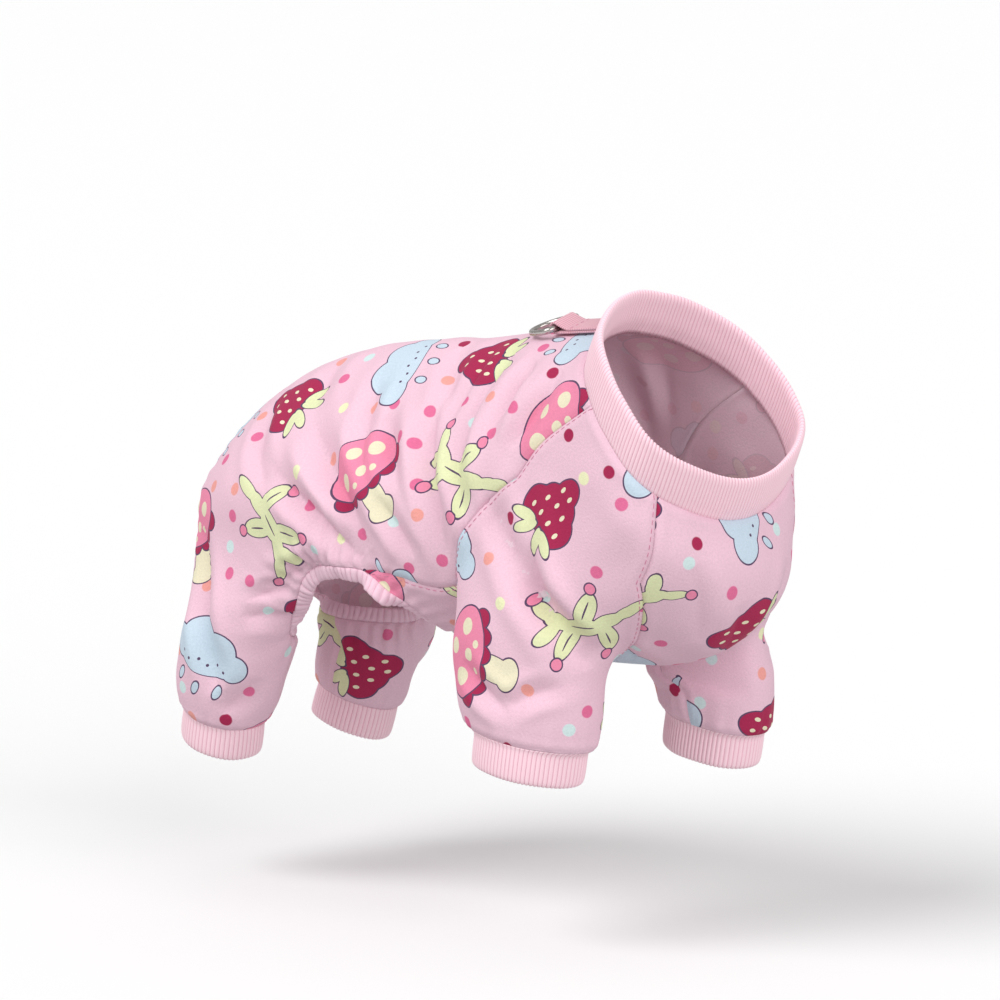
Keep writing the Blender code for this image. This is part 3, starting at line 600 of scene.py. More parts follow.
def add(tree, kind, values=(), **settings):
    """Adds a node with its settings. A value that is a node or a socket is linked in."""
    node = tree.nodes.new(kind)
    for name, value in settings.items():
        setattr(node, name, value)
    for key, value in dict(values).items():
        if isinstance(value, bpy.types.Node):
            value = value.outputs[0]
        if isinstance(value, bpy.types.NodeSocket):
            tree.links.new(value, node.inputs[key])
        else:
            node.inputs[key].default_value = value
    return node


PRINT_REPEAT = 98.0
INK = "#5b4664"
GROUND = "#ecc4d4"
PINK = "#ee8cac"
CRIMSON = "#a82450"
CREAM = "#ece4c6"
PALE_BLUE = "#c9dae8"
PALE_GREEN = "#e2e6b8"
MOTIFS = (
    # place in the repeat, mm, then shapes: colour, outlined or not, and its ovals in mm:
    # across, up, half width, half height, turn in degrees
    ((22.0, 27.0), (
        (CREAM, True, ((0, -12, 5.0, 9.5, 0), (0, -18, 6.6, 4.4, 0))),
        (CRIMSON, True, ((-15.4, -1, 3.6, 3.9, 0), (-9.6, -4, 3.6, 4.0, 0),
                         (-3.3, -5.6, 3.6, 4.0, 0), (3.3, -5.6, 3.6, 4.0, 0),
                         (9.6, -4, 3.6, 4.0, 0), (15.4, -1, 3.6, 3.9, 0))),
        (PINK, True, ((0, 5, 17.5, 11.5, 0),)),
        (CREAM, False, ((-9, 4, 3.4, 3.2, 0), (0.5, 10.5, 3.0, 2.7, 0), (9.8, 5.5, 3.2, 3.0, 0),
                        (0.5, 1, 2.4, 2.2, 0), (-4.5, -2.6, 1.4, 1.2, 0),
                        (5.6, -1.6, 1.6, 1.4, 0))),
    )),
    ((73.0, 20.0), (
        (PALE_GREEN, True, ((-17, -9, 8.0, 2.4, 38), (-9, -3.4, 6.8, 3.0, 30),
                            (0, 0.6, 7.6, 4.2, 14), (9, 1.2, 7.0, 3.2, -14),
                            (16.4, -2.6, 6.0, 2.2, -36), (-10.0, 4.6, 7.6, 3.7, 112),
                            (-1.0, -7.0, 8.0, 3.8, 74), (5.4, 8.0, 7.8, 3.8, 62),
                            (13.6, 5.4, 5.6, 2.9, 40))),
        (INK, False, ((0, 0.6, 4.6, 0.35, 14), (-10.0, 5.0, 3.6, 0.35, 112),
                      (-1.0, -7.4, 3.8, 0.35, 74), (5.4, 8.4, 3.8, 0.35, 62))),
        (PINK, True, ((-10.6, 13.4, 2.3, 2.5, 0), (9.2, 16.4, 2.3, 2.5, 0),
                      (-2.6, -16.4, 2.2, 2.4, 0), (21.6, -7.4, 2.2, 2.4, 0))),
    )),
    ((26.0, 76.0), (
        (PALE_BLUE, True, ((-9, -14, 1.7, 3.2, -18), (0.5, -15.6, 1.7, 3.2, -18),
                           (10, -14, 1.7, 3.2, -18))),
        (PALE_BLUE, True, ((-13, -2, 7.4, 6.2, 0), (-4.5, 4, 8.6, 8.0, 0), (7, 2.4, 8.2, 7.4, 0),
                           (14.5, -2.4, 6.2, 5.6, 0), (1, -4.4, 14, 5, 0))),
        (INK, False, ((-9, -4, 0.6, 0.6, 0), (-5, -5.4, 0.6, 0.6, 0), (-1, -4, 0.6, 0.6, 0),
                      (3, -5.4, 0.6, 0.6, 0), (7, -4, 0.6, 0.6, 0), (11, -5.2, 0.6, 0.6, 0))),
    )),
    ((75.0, 70.0), (
        (CRIMSON, True, ((-4.6, 2.4, 8.6, 8.4, 0), (4.6, 2.4, 8.6, 8.4, 0), (0, -3, 9.4, 8.4, 0),
                         (0, -9, 5.4, 8.0, 0))),
        (CREAM, False, ((-8, 4, 0.8, 1.4, 0), (-2.6, 3, 0.8, 1.4, 0), (2.8, 3, 0.8, 1.4, 0),
                        (8, 4, 0.8, 1.4, 0), (-5, -2.6, 0.8, 1.4, 0), (0, -4, 0.8, 1.4, 0),
                        (5, -2.6, 0.8, 1.4, 0), (-2.2, -10, 0.8, 1.4, 0),
                        (2.4, -10, 0.8, 1.4, 0))),
        (PALE_GREEN, True, ((-7.6, 9.6, 2.3, 5.6, 66), (7.6, 9.6, 2.3, 5.6, -66),
                            (-3.8, 12, 2.3, 5.6, 28), (3.8, 12, 2.3, 5.6, -28))),
    )),
)
SPOT_SPACING = 16.5
SPOT_RADII = (2.25, 2.65)
SPOT_CLEARANCE = 18.5
MOTIF_SHIFT = 9
OUTLINE = 0.028
SPOT_COLOURS = ("#e2709a", "#a82450", "#e2709a", "#f0a39a", "#d3e6e6", "#eeeec2", "#e2709a",
                "#d3e6e6")


def motif_place(tree, where, corner, number):
    """Where a point of the cloth lies within the nearest motif of one kind, in mm."""
    size = (PRINT_REPEAT, PRINT_REPEAT, 1)
    least = (PRINT_REPEAT - MOTIF_SHIFT) / 2
    shifted = add(tree, "ShaderNodeVectorMath", {0: where, 1: (
        PRINT_REPEAT / 2 - corner[0], PRINT_REPEAT / 2 - corner[1], 0)}, operation="ADD")
    cell = add(tree, "ShaderNodeVectorMath", {0: shifted, 1: size}, operation="SNAP")
    random = add(tree, "ShaderNodeTexWhiteNoise", {"Vector": cell, "W": float(number)},
                 noise_dimensions="4D")
    middle = add(tree, "ShaderNodeVectorMath", {
        0: random.outputs["Color"], 1: (MOTIF_SHIFT, MOTIF_SHIFT, 0),
        2: (least, least, 0)}, operation="MULTIPLY_ADD")
    local = add(tree, "ShaderNodeVectorMath", {0: shifted, 1: cell}, operation="SUBTRACT")
    local = add(tree, "ShaderNodeVectorMath", {0: local, 1: middle}, operation="SUBTRACT")
    angle = add(tree, "ShaderNodeMath", {0: random.outputs["Value"], 1: 2 * math.pi},
                operation="MULTIPLY")
    flat = add(tree, "ShaderNodeVectorMath", {0: local, 1: (1, 1, 0)}, operation="MULTIPLY")
    return add(tree, "ShaderNodeVectorRotate", {"Vector": flat, "Angle": angle},
               rotation_type="Z_AXIS")


def painted(tree, base, local, colour, outlined, ovals):
    """Paints one shape, the union of its ovals, over the colour so far."""
    union = None
    for across, up, wide, high, turn in ovals:
        mapped = add(tree, "ShaderNodeMapping", {
            "Vector": local, "Location": (across, up, 0), "Rotation": (0, 0, math.radians(turn)),
            "Scale": (wide, high, 1)}, vector_type="TEXTURE")
        length = add(tree, "ShaderNodeVectorMath", {0: mapped}, operation="LENGTH")
        radius = math.sqrt(wide * high) / 10
        depth = add(tree, "ShaderNodeMath", {0: length.outputs["Value"], 1: radius,
                                             2: 0.5 - radius}, operation="MULTIPLY_ADD")
        if union is None:
            union = depth
        else:
            union = add(tree, "ShaderNodeMath", {0: union, 1: depth, 2: 0.06},
                        operation="SMOOTH_MIN")
    ramp = add(tree, "ShaderNodeValToRGB", {"Fac": union})
    ramp.color_ramp.interpolation = "CONSTANT"
    stops = ramp.color_ramp.elements
    stops[0].color = linear(colour)
    line = OUTLINE if outlined else 0.0
    if outlined:
        stops.new(0.5 - line).color = linear(INK)
    stops[-1].position = 0.5 + line
    stops[-1].color = (*linear(INK)[:3], 0)
    return add(tree, "ShaderNodeMix", {0: ramp.outputs["Alpha"], 6: base,
                                       7: ramp.outputs["Color"]}, data_type="RGBA").outputs[2]


def print_colour(tree, where):
    """The printed colour at a point of the flat cloth, in mm."""
    scaled = add(tree, "ShaderNodeVectorMath", {0: where, "Scale": 1 / SPOT_SPACING},
                 operation="SCALE")
    spots = add(tree, "ShaderNodeTexVoronoi", {"Vector": scaled, "Scale": 1.0,
                                               "Randomness": 0.68}, voronoi_dimensions="2D")
    spot_middle = add(tree, "ShaderNodeVectorMath", {
        0: spots.outputs["Position"], "Scale": SPOT_SPACING}, operation="SCALE")
    clear = None
    for number, (corner, shapes) in enumerate(MOTIFS):
        local = motif_place(tree, spot_middle, corner, number)
        away = add(tree, "ShaderNodeVectorMath", {0: local}, operation="LENGTH").outputs["Value"]
        clear = away if clear is None else add(tree, "ShaderNodeMath", {0: clear, 1: away},
                                               operation="MINIMUM")
    kept = add(tree, "ShaderNodeMath", {0: clear, 1: SPOT_CLEARANCE},
               operation="GREATER_THAN")
    hue = add(tree, "ShaderNodeSeparateColor", {"Color": spots.outputs["Color"]})
    ramp = add(tree, "ShaderNodeValToRGB", {"Fac": hue})
    ramp.color_ramp.interpolation = "CONSTANT"
    stops = ramp.color_ramp.elements
    for number, colour in enumerate(SPOT_COLOURS):
        share = number / len(SPOT_COLOURS)
        stop = stops[0] if number == 0 else stops[1] if number == 1 else stops.new(share)
        stop.position = share
        stop.color = linear(colour)
    inside = add(tree, "ShaderNodeMapRange", {
        "Value": spots.outputs["Distance"], "From Min": SPOT_RADII[0] / SPOT_SPACING,
        "From Max": SPOT_RADII[1] / SPOT_SPACING, "To Min": 1.0, "To Max": 0.0})
    inside = add(tree, "ShaderNodeMath", {0: inside, 1: kept}, operation="MULTIPLY")
    colour = add(tree, "ShaderNodeMix", {0: inside, 6: linear(GROUND), 7: ramp},
                 data_type="RGBA").outputs[2]
    for number, (corner, shapes) in enumerate(MOTIFS):
        local = motif_place(tree, where, corner, number)
        for shade, outlined, ovals in shapes:
            colour = painted(tree, colour, local, shade, outlined, ovals)
    return colour


def new_material(name, roughness, metallic=0.0, **settings):
    made = bpy.data.materials.new(name)
    made.use_nodes = True
    shader = made.node_tree.nodes["Principled BSDF"]
    shader.inputs["Roughness"].default_value = roughness
    shader.inputs["Metallic"].default_value = metallic
    for key, value in settings.items():
        shader.inputs[key.replace("_", " ")].default_value = value
    return made, made.node_tree, shader


printed_jersey, tree, shader = new_material(
    "printed_single_jersey", 0.8, Sheen_Weight=0.06, Sheen_Roughness=0.4,
    Specular_IOR_Level=0.3)
cut = add(tree, "ShaderNodeUVMap", uv_map="cut")
millimetres = add(tree, "ShaderNodeVectorMath", {0: cut, "Scale": 1000.0}, operation="SCALE")
colour = print_colour(tree, millimetres)
wrong = add(tree, "ShaderNodeAttribute", attribute_name="wrong_side")
faded = add(tree, "ShaderNodeMath", {0: wrong.outputs["Fac"], 1: 0.8}, operation="MULTIPLY")
colour = add(tree, "ShaderNodeMix", {0: faded, 6: colour, 7: linear("#f0d5df")},
             data_type="RGBA").outputs[2]
grain = add(tree, "ShaderNodeTexNoise", {"Vector": millimetres, "Scale": 1.1, "Detail": 3.0,
                                         "Roughness": 0.7})
uneven = add(tree, "ShaderNodeMapRange", {"Value": grain, "From Min": 0.3, "From Max": 0.7,
                                          "To Min": 0.93, "To Max": 1.05})
colour = add(tree, "ShaderNodeVectorMath", {0: colour, "Scale": uneven}, operation="SCALE")
tree.links.new(colour.outputs[0], shader.inputs["Base Color"])
bump = add(tree, "ShaderNodeBump", {"Height": grain, "Strength": 0.6, "Distance": 0.0003})
tree.links.new(bump.outputs[0], shader.inputs["Normal"])


def finished(name, mesh, material, body="garment"):
    """Puts a piece in the scene in place of the plain solid of the same name."""
    mesh.name = name + "_cloth"
    mesh.materials.clear()
    mesh.materials.append(material)
    piece = bpy.data.objects.new(name + "_piece", mesh)
    bpy.context.scene.collection.objects.link(piece)
    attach(piece, body)
    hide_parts(name)
    return piece


def into_cloth(start, end):
    """Way from each vertex of some open edges into the cloth that they bound."""
    inward = np.zeros_like(points)
    for v in (start, end):
        np.add.at(inward, v, np.cross(normals[v], points[end] - points[start]))
    return inward


def cloth_piece(name, cloth):
    """A cut piece of jersey: outer face, inner face and the cut edge between them."""
    quads, flat = outer_quads[outer_cloth == cloth], outer_flat[outer_cloth == cloth]
    lining, lining_flat = inner_quads[inner_cloth == cloth], inner_flat[inner_cloth == cloth]
    used, back_used = np.unique(quads), np.unique(lining)
    start, end, corner = open_runs(quads)
    inward = into_cloth(start, end)
    reach = np.linalg.norm(inward, axis=1)
    outer = points + inward * (SEAM_GAP / np.maximum(reach, SEAM_GAP))[:, None]
    inner = outer[back_used] - normals[back_used] * JERSEY_THICKNESS
    place = np.searchsorted(used, quads)
    back_place = np.searchsorted(back_used, lining) + len(used)
    faces = place.tolist() + back_place[:, ::-1].tolist()
    uv = [*flat.reshape(-1, 2), *lining_flat[:, ::-1].reshape(-1, 2)]
    wrong = [0.0] * len(place) + [1.0] * len(lining)

    corners, after = flat.reshape(-1, 2), np.roll(flat, -1, axis=1).reshape(-1, 2)
    following = {a: (b, c) for a, b, c in zip(start.tolist(), end.tolist(), corner.tolist())}
    for a, b in zip(*open_runs(lining)[:2]):
        middle, first = following[int(a)]
        second = following[middle][1]
        i, m, j = np.searchsorted(used, (a, middle, b))
        k, n = np.searchsorted(back_used, (a, b)) + len(used)
        faces.append([int(v) for v in (j, m, i, k, n)])
        uv += [after[second], after[first], corners[first], corners[first], after[second]]
        wrong.append(0.0)
    mesh = bpy.data.meshes.new(name)
    mesh.from_pydata(np.vstack([outer[used], inner]), [], faces)
    mesh.uv_layers.new(name="cut").data.foreach_set("uv", np.array(uv).ravel())
    mesh.attributes.new("wrong_side", "FLOAT", "FACE").data.foreach_set("value", wrong)
    mesh.shade_smooth()
    return finished(name, mesh, printed_jersey)


# Body panel, chest and belly panel, and sleeves
# Four pieces of the jersey, overlocked together: the back with both flanks and hind legs in
# one, the chest and belly, and two raglan sleeves that reach up to the neck seam.
PANEL_CUTS = {
    # width and length of the piece of cloth that each is cut from, and its own area
    "body_panel": (0.375, 0.300, 0.0555),
    "chest_belly_panel": (0.140, 0.210, 0.0120),
    "sleeve_right": (0.150, 0.175, 0.0119),
    "sleeve_left": (0.150, 0.175, 0.0119),
}
SEAM_GAP = 0.00002
for cloth, (name, (width, length, area)) in enumerate(PANEL_CUTS.items()):
    panel = cloth_piece(name, cloth)


# Seam stitches
# Rows of dark pink thread that flatten the seam allowance beside the raglan and side seams.
# Each stitch is a short rounded bar of thread that lies along the seam.
STITCH_LENGTH = 0.0021
STITCH_STEP = 0.0030
THREAD = 0.00036
ROW_OFFSET = 0.0014
jersey_face = BVHTree.FromPolygons(points.tolist(), outer_quads.tolist())

thread, tree, shader = new_material("polyester_thread", 0.45, Sheen_Weight=0.3)
shader.inputs["Base Color"].default_value = linear("#d384a0")


def worked_mesh(mesh, tree, inputs):
    """The mesh after a node tree has worked on it, with the tree's inputs set by name."""
    obj = bpy.data.objects.new("worked", mesh)
    modifier = obj.modifiers.new("Nodes", "NODES")
    modifier.node_group = tree
    for item in tree.interface.items_tree:
        if item.in_out == "INPUT" and item.name in inputs:
            modifier[item.identifier] = inputs[item.name]
    return evaluated_mesh(obj)


def new_node_tree(name, **inputs):
    """An empty geometry tree with named inputs of the given kinds, and their sockets."""
    tree = bpy.data.node_groups.new(name, "GeometryNodeTree")
    for label, kind in (("Geometry", "Geometry"), *inputs.items()):
        tree.interface.new_socket(name=label, in_out="INPUT", socket_type="NodeSocket" + kind)
    tree.interface.new_socket(name="Geometry", in_out="OUTPUT",
                              socket_type="NodeSocketGeometry")
    return tree, add(tree, "NodeGroupInput").outputs


def stitch_tree():
    """A short bar of thread at even steps along each line, turned along it."""
    tree, given = new_node_tree("stitch_row", Step="Float", Length="Float", Thickness="Float",
                                Thread="Material")
    line = add(tree, "GeometryNodeMeshToCurve", {"Mesh": given["Geometry"]})
    spots = add(tree, "GeometryNodeCurveToPoints", {"Curve": line, "Length": given["Step"]},
                mode="LENGTH")
    bar = add(tree, "GeometryNodeMeshUVSphere", {"Segments": 6, "Rings": 5, "Radius": 0.5})
    turn = add(tree, "FunctionNodeAlignRotationToVector", {
        "Vector": spots.outputs["Tangent"]}, axis="Z")
    size = add(tree, "ShaderNodeCombineXYZ", {"X": given["Thickness"], "Y": given["Thickness"],
                                              "Z": given["Length"]})
    placed = add(tree, "GeometryNodeInstanceOnPoints", {
        "Points": spots, "Instance": bar, "Rotation": turn, "Scale": size})
    plain = add(tree, "GeometryNodeRealizeInstances", {"Geometry": placed})
    smooth = add(tree, "GeometryNodeSetShadeSmooth", {"Geometry": plain})
    dressed = add(tree, "GeometryNodeSetMaterial", {"Geometry": smooth,
                                                    "Material": given["Thread"]})
    add(tree, "NodeGroupOutput", {"Geometry": dressed})
    return tree


garment_edge = np.zeros(len(points), bool)
for loop in loops.values():
    garment_edge[loop] = True
line_points = []
line_edges = []
for cloth in (SLEEVE_RIGHT, SLEEVE_LEFT, CHEST_CLOTH):
    own = outer_quads[outer_cloth == cloth]
    start, end, _ = open_runs(own)
    other = np.isin(start, outer_quads[outer_cloth == BACK_CLOTH])
    other &= np.isin(end, outer_quads[outer_cloth == BACK_CLOTH])
    drawn = ~(garment_edge[start] | garment_edge[end])
    if cloth == CHEST_CLOTH:
        drawn &= other
    inward = into_cloth(start, end)
    numbers = {}
    for a, b in zip(start[drawn].tolist(), end[drawn].tolist()):
        for v in (a, b):
            if v not in numbers:
                step = Vector(inward[v]).normalized() * ROW_OFFSET
                place, normal, _, _ = jersey_face.find_nearest(Vector(points[v]) + step)
                numbers[v] = len(line_points)
                line_points.append(place + normal * THREAD * 0.2)
        line_edges.append((numbers[a], numbers[b]))
rows_mesh = bpy.data.meshes.new("stitch_rows")
rows_mesh.from_pydata(line_points, line_edges, [])
stitch_rows = stitch_tree()


def stitched(name, rows, step, length):
    """Sews stitches of one size along rows given as lines, as a piece of the garment."""
    sewn_rows = worked_mesh(rows, stitch_rows, {"Step": step, "Length": length,
                                                "Thickness": THREAD, "Thread": thread})
    piece = bpy.data.objects.new(name, sewn_rows)
    bpy.context.scene.collection.objects.link(piece)
    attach(piece, "garment")


stitched("seam_stitches_piece", rows_mesh, STITCH_STEP, STITCH_LENGTH)


# Neckband and cuffs
# Pink 1x1 rib knit, folded double and sewn to the jersey. The ribs run from the seam over
# the folded edge. Each rib is a rounded cord of stitches about 1.6 mm wide.
RIB_THICKNESS = 0.0026
RIB_PITCH = 0.0016
RIB_DEPTH = 0.0004
NECKBAND_HEIGHT = 0.0150
NECKBAND_LEAN = 0.0065
FRONT_CUFF = (0.0140, 0.0430, 0.0340)
HIND_CUFF = (0.0132, 0.0340, 0.0290)
POINTS_PER_RIB = 8

rib_knit, tree, shader = new_material(
    "pink_cotton_rib_knit", 0.88, Sheen_Weight=0.08, Sheen_Roughness=0.5,
    Specular_IOR_Level=0.3)
# Painted shade: the knit is coloured darker in the grooves between the ribs and lighter on their
# crowns, following the stored ridge value, as light and shade would fall on them.
painted_groove_shade = add(tree, "ShaderNodeAttribute", attribute_name="ridge")
shade = add(tree, "ShaderNodeValToRGB", {"Fac": painted_groove_shade.outputs["Fac"]})
shade.color_ramp.elements[0].color = linear("#e8adbf")
shade.color_ramp.elements[1].color = linear("#fdd8e3")
shade.color_ramp.elements[1].position = 0.6
tree.links.new(shade.outputs["Color"], shader.inputs["Base Color"])


def wave_tree():
    """Raises ribs or gathers that run across a band, each about one pitch wide."""
    tree, given = new_node_tree("knit_ribs", Pitch="Float", Depth="Float",
                                Unevenness="Float", Cloth="Material")
    along = add(tree, "GeometryNodeInputNamedAttribute", {"Name": "along"}, data_type="FLOAT")
    relief = add(tree, "GeometryNodeInputNamedAttribute", {"Name": "relief"},
                 data_type="FLOAT")
    count = add(tree, "ShaderNodeMath", {0: along, 1: given["Pitch"]}, operation="DIVIDE")
    noise = add(tree, "ShaderNodeTexNoise", {"Scale": 70.0, "Detail": 1.0},
                noise_dimensions="3D")
    uneven = add(tree, "ShaderNodeMath", {0: noise.outputs[0], 1: given["Unevenness"]},
                 operation="MULTIPLY")
    count = add(tree, "ShaderNodeMath", {0: count, 1: uneven}, operation="ADD")
    share = add(tree, "ShaderNodeMath", {0: count}, operation="FRACT")
    turn = add(tree, "ShaderNodeMath", {0: share, 1: math.pi}, operation="MULTIPLY")
    ridge = add(tree, "ShaderNodeMath", {0: turn}, operation="SINE")
    ridge = add(tree, "ShaderNodeMath", {0: ridge, 1: 0.7}, operation="POWER")
    height = add(tree, "ShaderNodeMath", {0: ridge, 1: 0.5}, operation="SUBTRACT")
    height = add(tree, "ShaderNodeMath", {0: height, 1: relief}, operation="MULTIPLY")
    height = add(tree, "ShaderNodeMath", {0: height, 1: given["Depth"]},
                 operation="MULTIPLY")
    normal = add(tree, "GeometryNodeInputNormal")
    offset = add(tree, "ShaderNodeVectorMath", {0: normal, "Scale": height},
                 operation="SCALE")
    # The ridge value is stored for the rib knit and binding materials, which paint shade from it
    # into the grooves and crimp hollows.
    stored = add(tree, "GeometryNodeStoreNamedAttribute", {
        "Geometry": given["Geometry"], "Name": "ridge", "Value": ridge},
        data_type="FLOAT", domain="POINT")
    moved = add(tree, "GeometryNodeSetPosition", {"Geometry": stored, "Offset": offset})
    plain = add(tree, "GeometryNodeRealizeInstances", {"Geometry": moved})
    dressed = add(tree, "GeometryNodeSetMaterial", {"Geometry": plain,
                                                    "Material": given["Cloth"]})
    add(tree, "NodeGroupOutput", {"Geometry": dressed})
    return tree


def even_frames(loop, count):
    """Place, outward normal and way off the cloth at even steps round an edge loop."""
    place, normal = points[loop], normals[loop]
    run = np.roll(place, -1, axis=0) - np.roll(place, 1, axis=0)
    off = np.cross(run, normal)
    off /= np.linalg.norm(off, axis=1)[:, None]
    steps = np.linalg.norm(np.roll(place, -1, axis=0) - place, axis=1)
    length = np.concatenate([[0], np.cumsum(steps)])
    wanted = np.linspace(0, length[-1], count, endpoint=False)
    frames = []
    for values in (place, normal, off):
        closed = np.vstack([values, values[:1]])
        even = np.stack([np.interp(wanted, length, closed[:, k]) for k in range(3)], axis=1)
        frames.append(even)
    for values in frames[1:]:
        values /= np.linalg.norm(values, axis=1)[:, None]
    return (*frames, length[-1])


def turn_outward(mesh, thickness=0.0):
    """Turns the faces outwards, after giving an open sheet its thickness on the inside."""
    made = bmesh.new()
    made.from_mesh(mesh)
    if thickness:
        bmesh.ops.solidify(made, geom=made.faces[:], thickness=thickness)
    bmesh.ops.recalc_face_normals(made, faces=made.faces)
    made.to_mesh(mesh)
    made.free()
    mesh.shade_smooth()


def band_mesh(sections, length, relief, open_sides=0):
    """A band from an outline at each step round a loop, with its rib places."""
    loops, sides = sections.shape[:2]
    quads = []
    for i in range(loops):
        here, there = i * sides, (i + 1) % loops * sides
        for j in range(sides - open_sides):
            k = (j + 1) % sides
            quads.append([here + j, there + j, there + k, here + k])
    mesh = bpy.data.meshes.new("band")
    mesh.from_pydata(sections.reshape(-1, 3), [], quads)
    turn_outward(mesh)
    along = np.repeat(np.arange(loops) * length / loops, sides)
    mesh.attributes.new("along", "FLOAT", "POINT").data.foreach_set("value", along)
    mesh.attributes.new("relief", "FLOAT", "POINT").data.foreach_set(
        "value", np.tile(relief, loops))
    return mesh


def fine_outline(outline, count):
    """A coarse outline given as rows of numbers, run smoothly through more stations."""
    rows = np.array(outline, float)
    stations = np.linspace(0, 1, len(rows))
    return np.array([smooth_curve(stations, rows, t) for t in np.linspace(0, 1, count)])


def neckband(loop):
    """Rib collar that stands up from the neck seam and leans forward."""
    length = even_frames(loop, 10)[3]
    ribs = round(length / RIB_PITCH)
    place, normal, off, length = even_frames(loop, ribs * POINTS_PER_RIB)
    rise = np.array([NECKBAND_LEAN, 0, NECKBAND_HEIGHT])
    run = np.roll(place, -1, axis=0) - np.roll(place, 1, axis=0)
    face = np.cross(rise, run)
    face *= np.sign(np.sum(face * normal, axis=1))[:, None]
    face /= np.linalg.norm(face, axis=1)[:, None]
    outline = fine_outline((
        # share of the rise, outward place as a share of the thickness, relief of the ribs
        (0.00, 0.00, 0.2), (0.22, 0.10, 1.0), (0.45, 0.12, 1.0), (0.70, 0.08, 1.0),
        (0.90, -0.02, 1.0), (1.00, -0.50, 1.0), (0.90, -0.98, 1.0), (0.60, -1.0, 1.0),
        (0.30, -1.0, 0.8), (0.02, -1.0, 0.0),
    ), 28)
    sections = []
    for share, out, relief in outline:
        drawn = smooth_step(share, 0.0, 0.3)
        way = normal * (1 - drawn) + face * drawn
        sections.append(place + rise * share + way * out * RIB_THICKNESS)
    mesh = band_mesh(np.stack(sections, axis=1), length, outline[:, 2])
    return worked_mesh(mesh, ribbing, {"Pitch": length / ribs, "Depth": RIB_DEPTH,
                                       "Unevenness": 0.0, "Cloth": rib_knit})


def cuff(loop, sizes, toe_in):
    """Rib cuff sewn to a hem: it draws in at the seam and hangs straight."""
    height, long_size, wide_size = sizes
    length = even_frames(loop, 10)[3]
    ribs = round(0.86 * length / RIB_PITCH)
    place, normal, off, length = even_frames(loop, ribs * POINTS_PER_RIB)
    centre = place.mean(axis=0)
    spoke = place - centre
    turn = -toe_in * np.sign(centre[1])
    along = np.array([math.cos(turn), math.sin(turn), 0])
    across = np.array([-math.sin(turn), math.cos(turn), 0])
    a, b = spoke @ along, spoke @ across
    shrink_a = long_size / (a.max() - a.min())
    shrink_b = wide_size / (b.max() - b.min())
    narrow = np.outer(a * shrink_a, along) + np.outer(b * shrink_b, across)
    narrow[:, 2] = spoke[:, 2] * shrink_a
    plane = np.linalg.svd(spoke, full_matrices=False)[2][2]
    down = plane * -np.sign(plane[2]) * height
    out = narrow * (1, 1, 0)
    out /= np.linalg.norm(out, axis=1)[:, None]
    outline = fine_outline((
        # share of the height, share of the way to the cuff's own girth, inward place as a
        # share of the thickness, relief of the ribs
        (0.00, 0.00, 0.00, 0.1), (0.12, 0.80, 0.00, 0.9), (0.35, 0.97, -0.06, 1.0),
        (0.60, 1.00, -0.08, 1.0), (0.85, 1.03, -0.04, 1.0), (0.96, 1.04, 0.12, 1.0),
        (1.00, 1.04, 0.50, 1.0), (0.96, 1.04, 0.88, 1.0), (0.70, 1.02, 1.00, 1.0),
        (0.35, 0.96, 1.00, 0.9), (0.02, 0.10, 0.90, 0.0),
    ), 30)
    sections = []
    for share, drawn, thick, relief in outline:
        ring = centre + spoke * (1 - drawn) + narrow * drawn + down * share
        sections.append(ring - out * thick * RIB_THICKNESS)
    mesh = band_mesh(np.stack(sections, axis=1), length, outline[:, 3])
    return worked_mesh(mesh, ribbing, {"Pitch": length / ribs, "Depth": RIB_DEPTH,
                                       "Unevenness": 0.0, "Cloth": rib_knit})


# Flat sizes are those of the doubled rib taken as one ply: the worn girth over the 1.1 that
# rib is stretched by as it is sewn on, and the finished height.
ribbing = wave_tree()
for name, loop in loops.items():
    if name == "neckband":
        mesh = neckband(loop)
        flat = (0.262, 0.0164)
    elif name.startswith("front_cuff"):
        mesh = cuff(loop, FRONT_CUFF, SLEEVE_TOE_IN)
        flat = (0.110, 0.0140)
    elif name.startswith("hind_cuff"):
        mesh = cuff(loop, HIND_CUFF, 0)
        flat = (0.090, 0.0132)
    else:
        continue
    band = finished(name, mesh, rib_knit)


# Opening binding
# The belly and tail opening is edged with a narrow tunnel of the jersey over elastic, which
# gathers it into small crimps all the way round.
BINDING_WIDTH = 0.0058
BINDING_SWELL = 0.0004
BINDING_CLOTH = 0.0004
BINDING_PITCH = 0.0028
BINDING_DEPTH = 0.0008
BINDING_UNEVENNESS = 3.0
POINTS_PER_CRIMP = 8

gathered, tree, shader = new_material(
    "gathered_jersey_binding", 0.82, Sheen_Weight=0.06, Sheen_Roughness=0.4,
    Specular_IOR_Level=0.3)
# Painted shade: the binding is coloured darker in the hollows of the crimps and lighter on their
# crests, following the stored ridge value.
painted_crimp_shade = add(tree, "ShaderNodeAttribute", attribute_name="ridge")
shade = add(tree, "ShaderNodeValToRGB", {"Fac": painted_crimp_shade.outputs["Fac"]})
shade.color_ramp.elements[0].color = linear("#e2adc0")
shade.color_ramp.elements[1].color = linear("#f0cbda")
shade.color_ramp.elements[1].position = 0.5
tree.links.new(shade.outputs["Color"], shader.inputs["Base Color"])

length = even_frames(loops["opening_binding"], 10)[3]
crimps = round(length / BINDING_PITCH)
place, normal, off, length = even_frames(loops["opening_binding"],
                                         crimps * POINTS_PER_CRIMP)
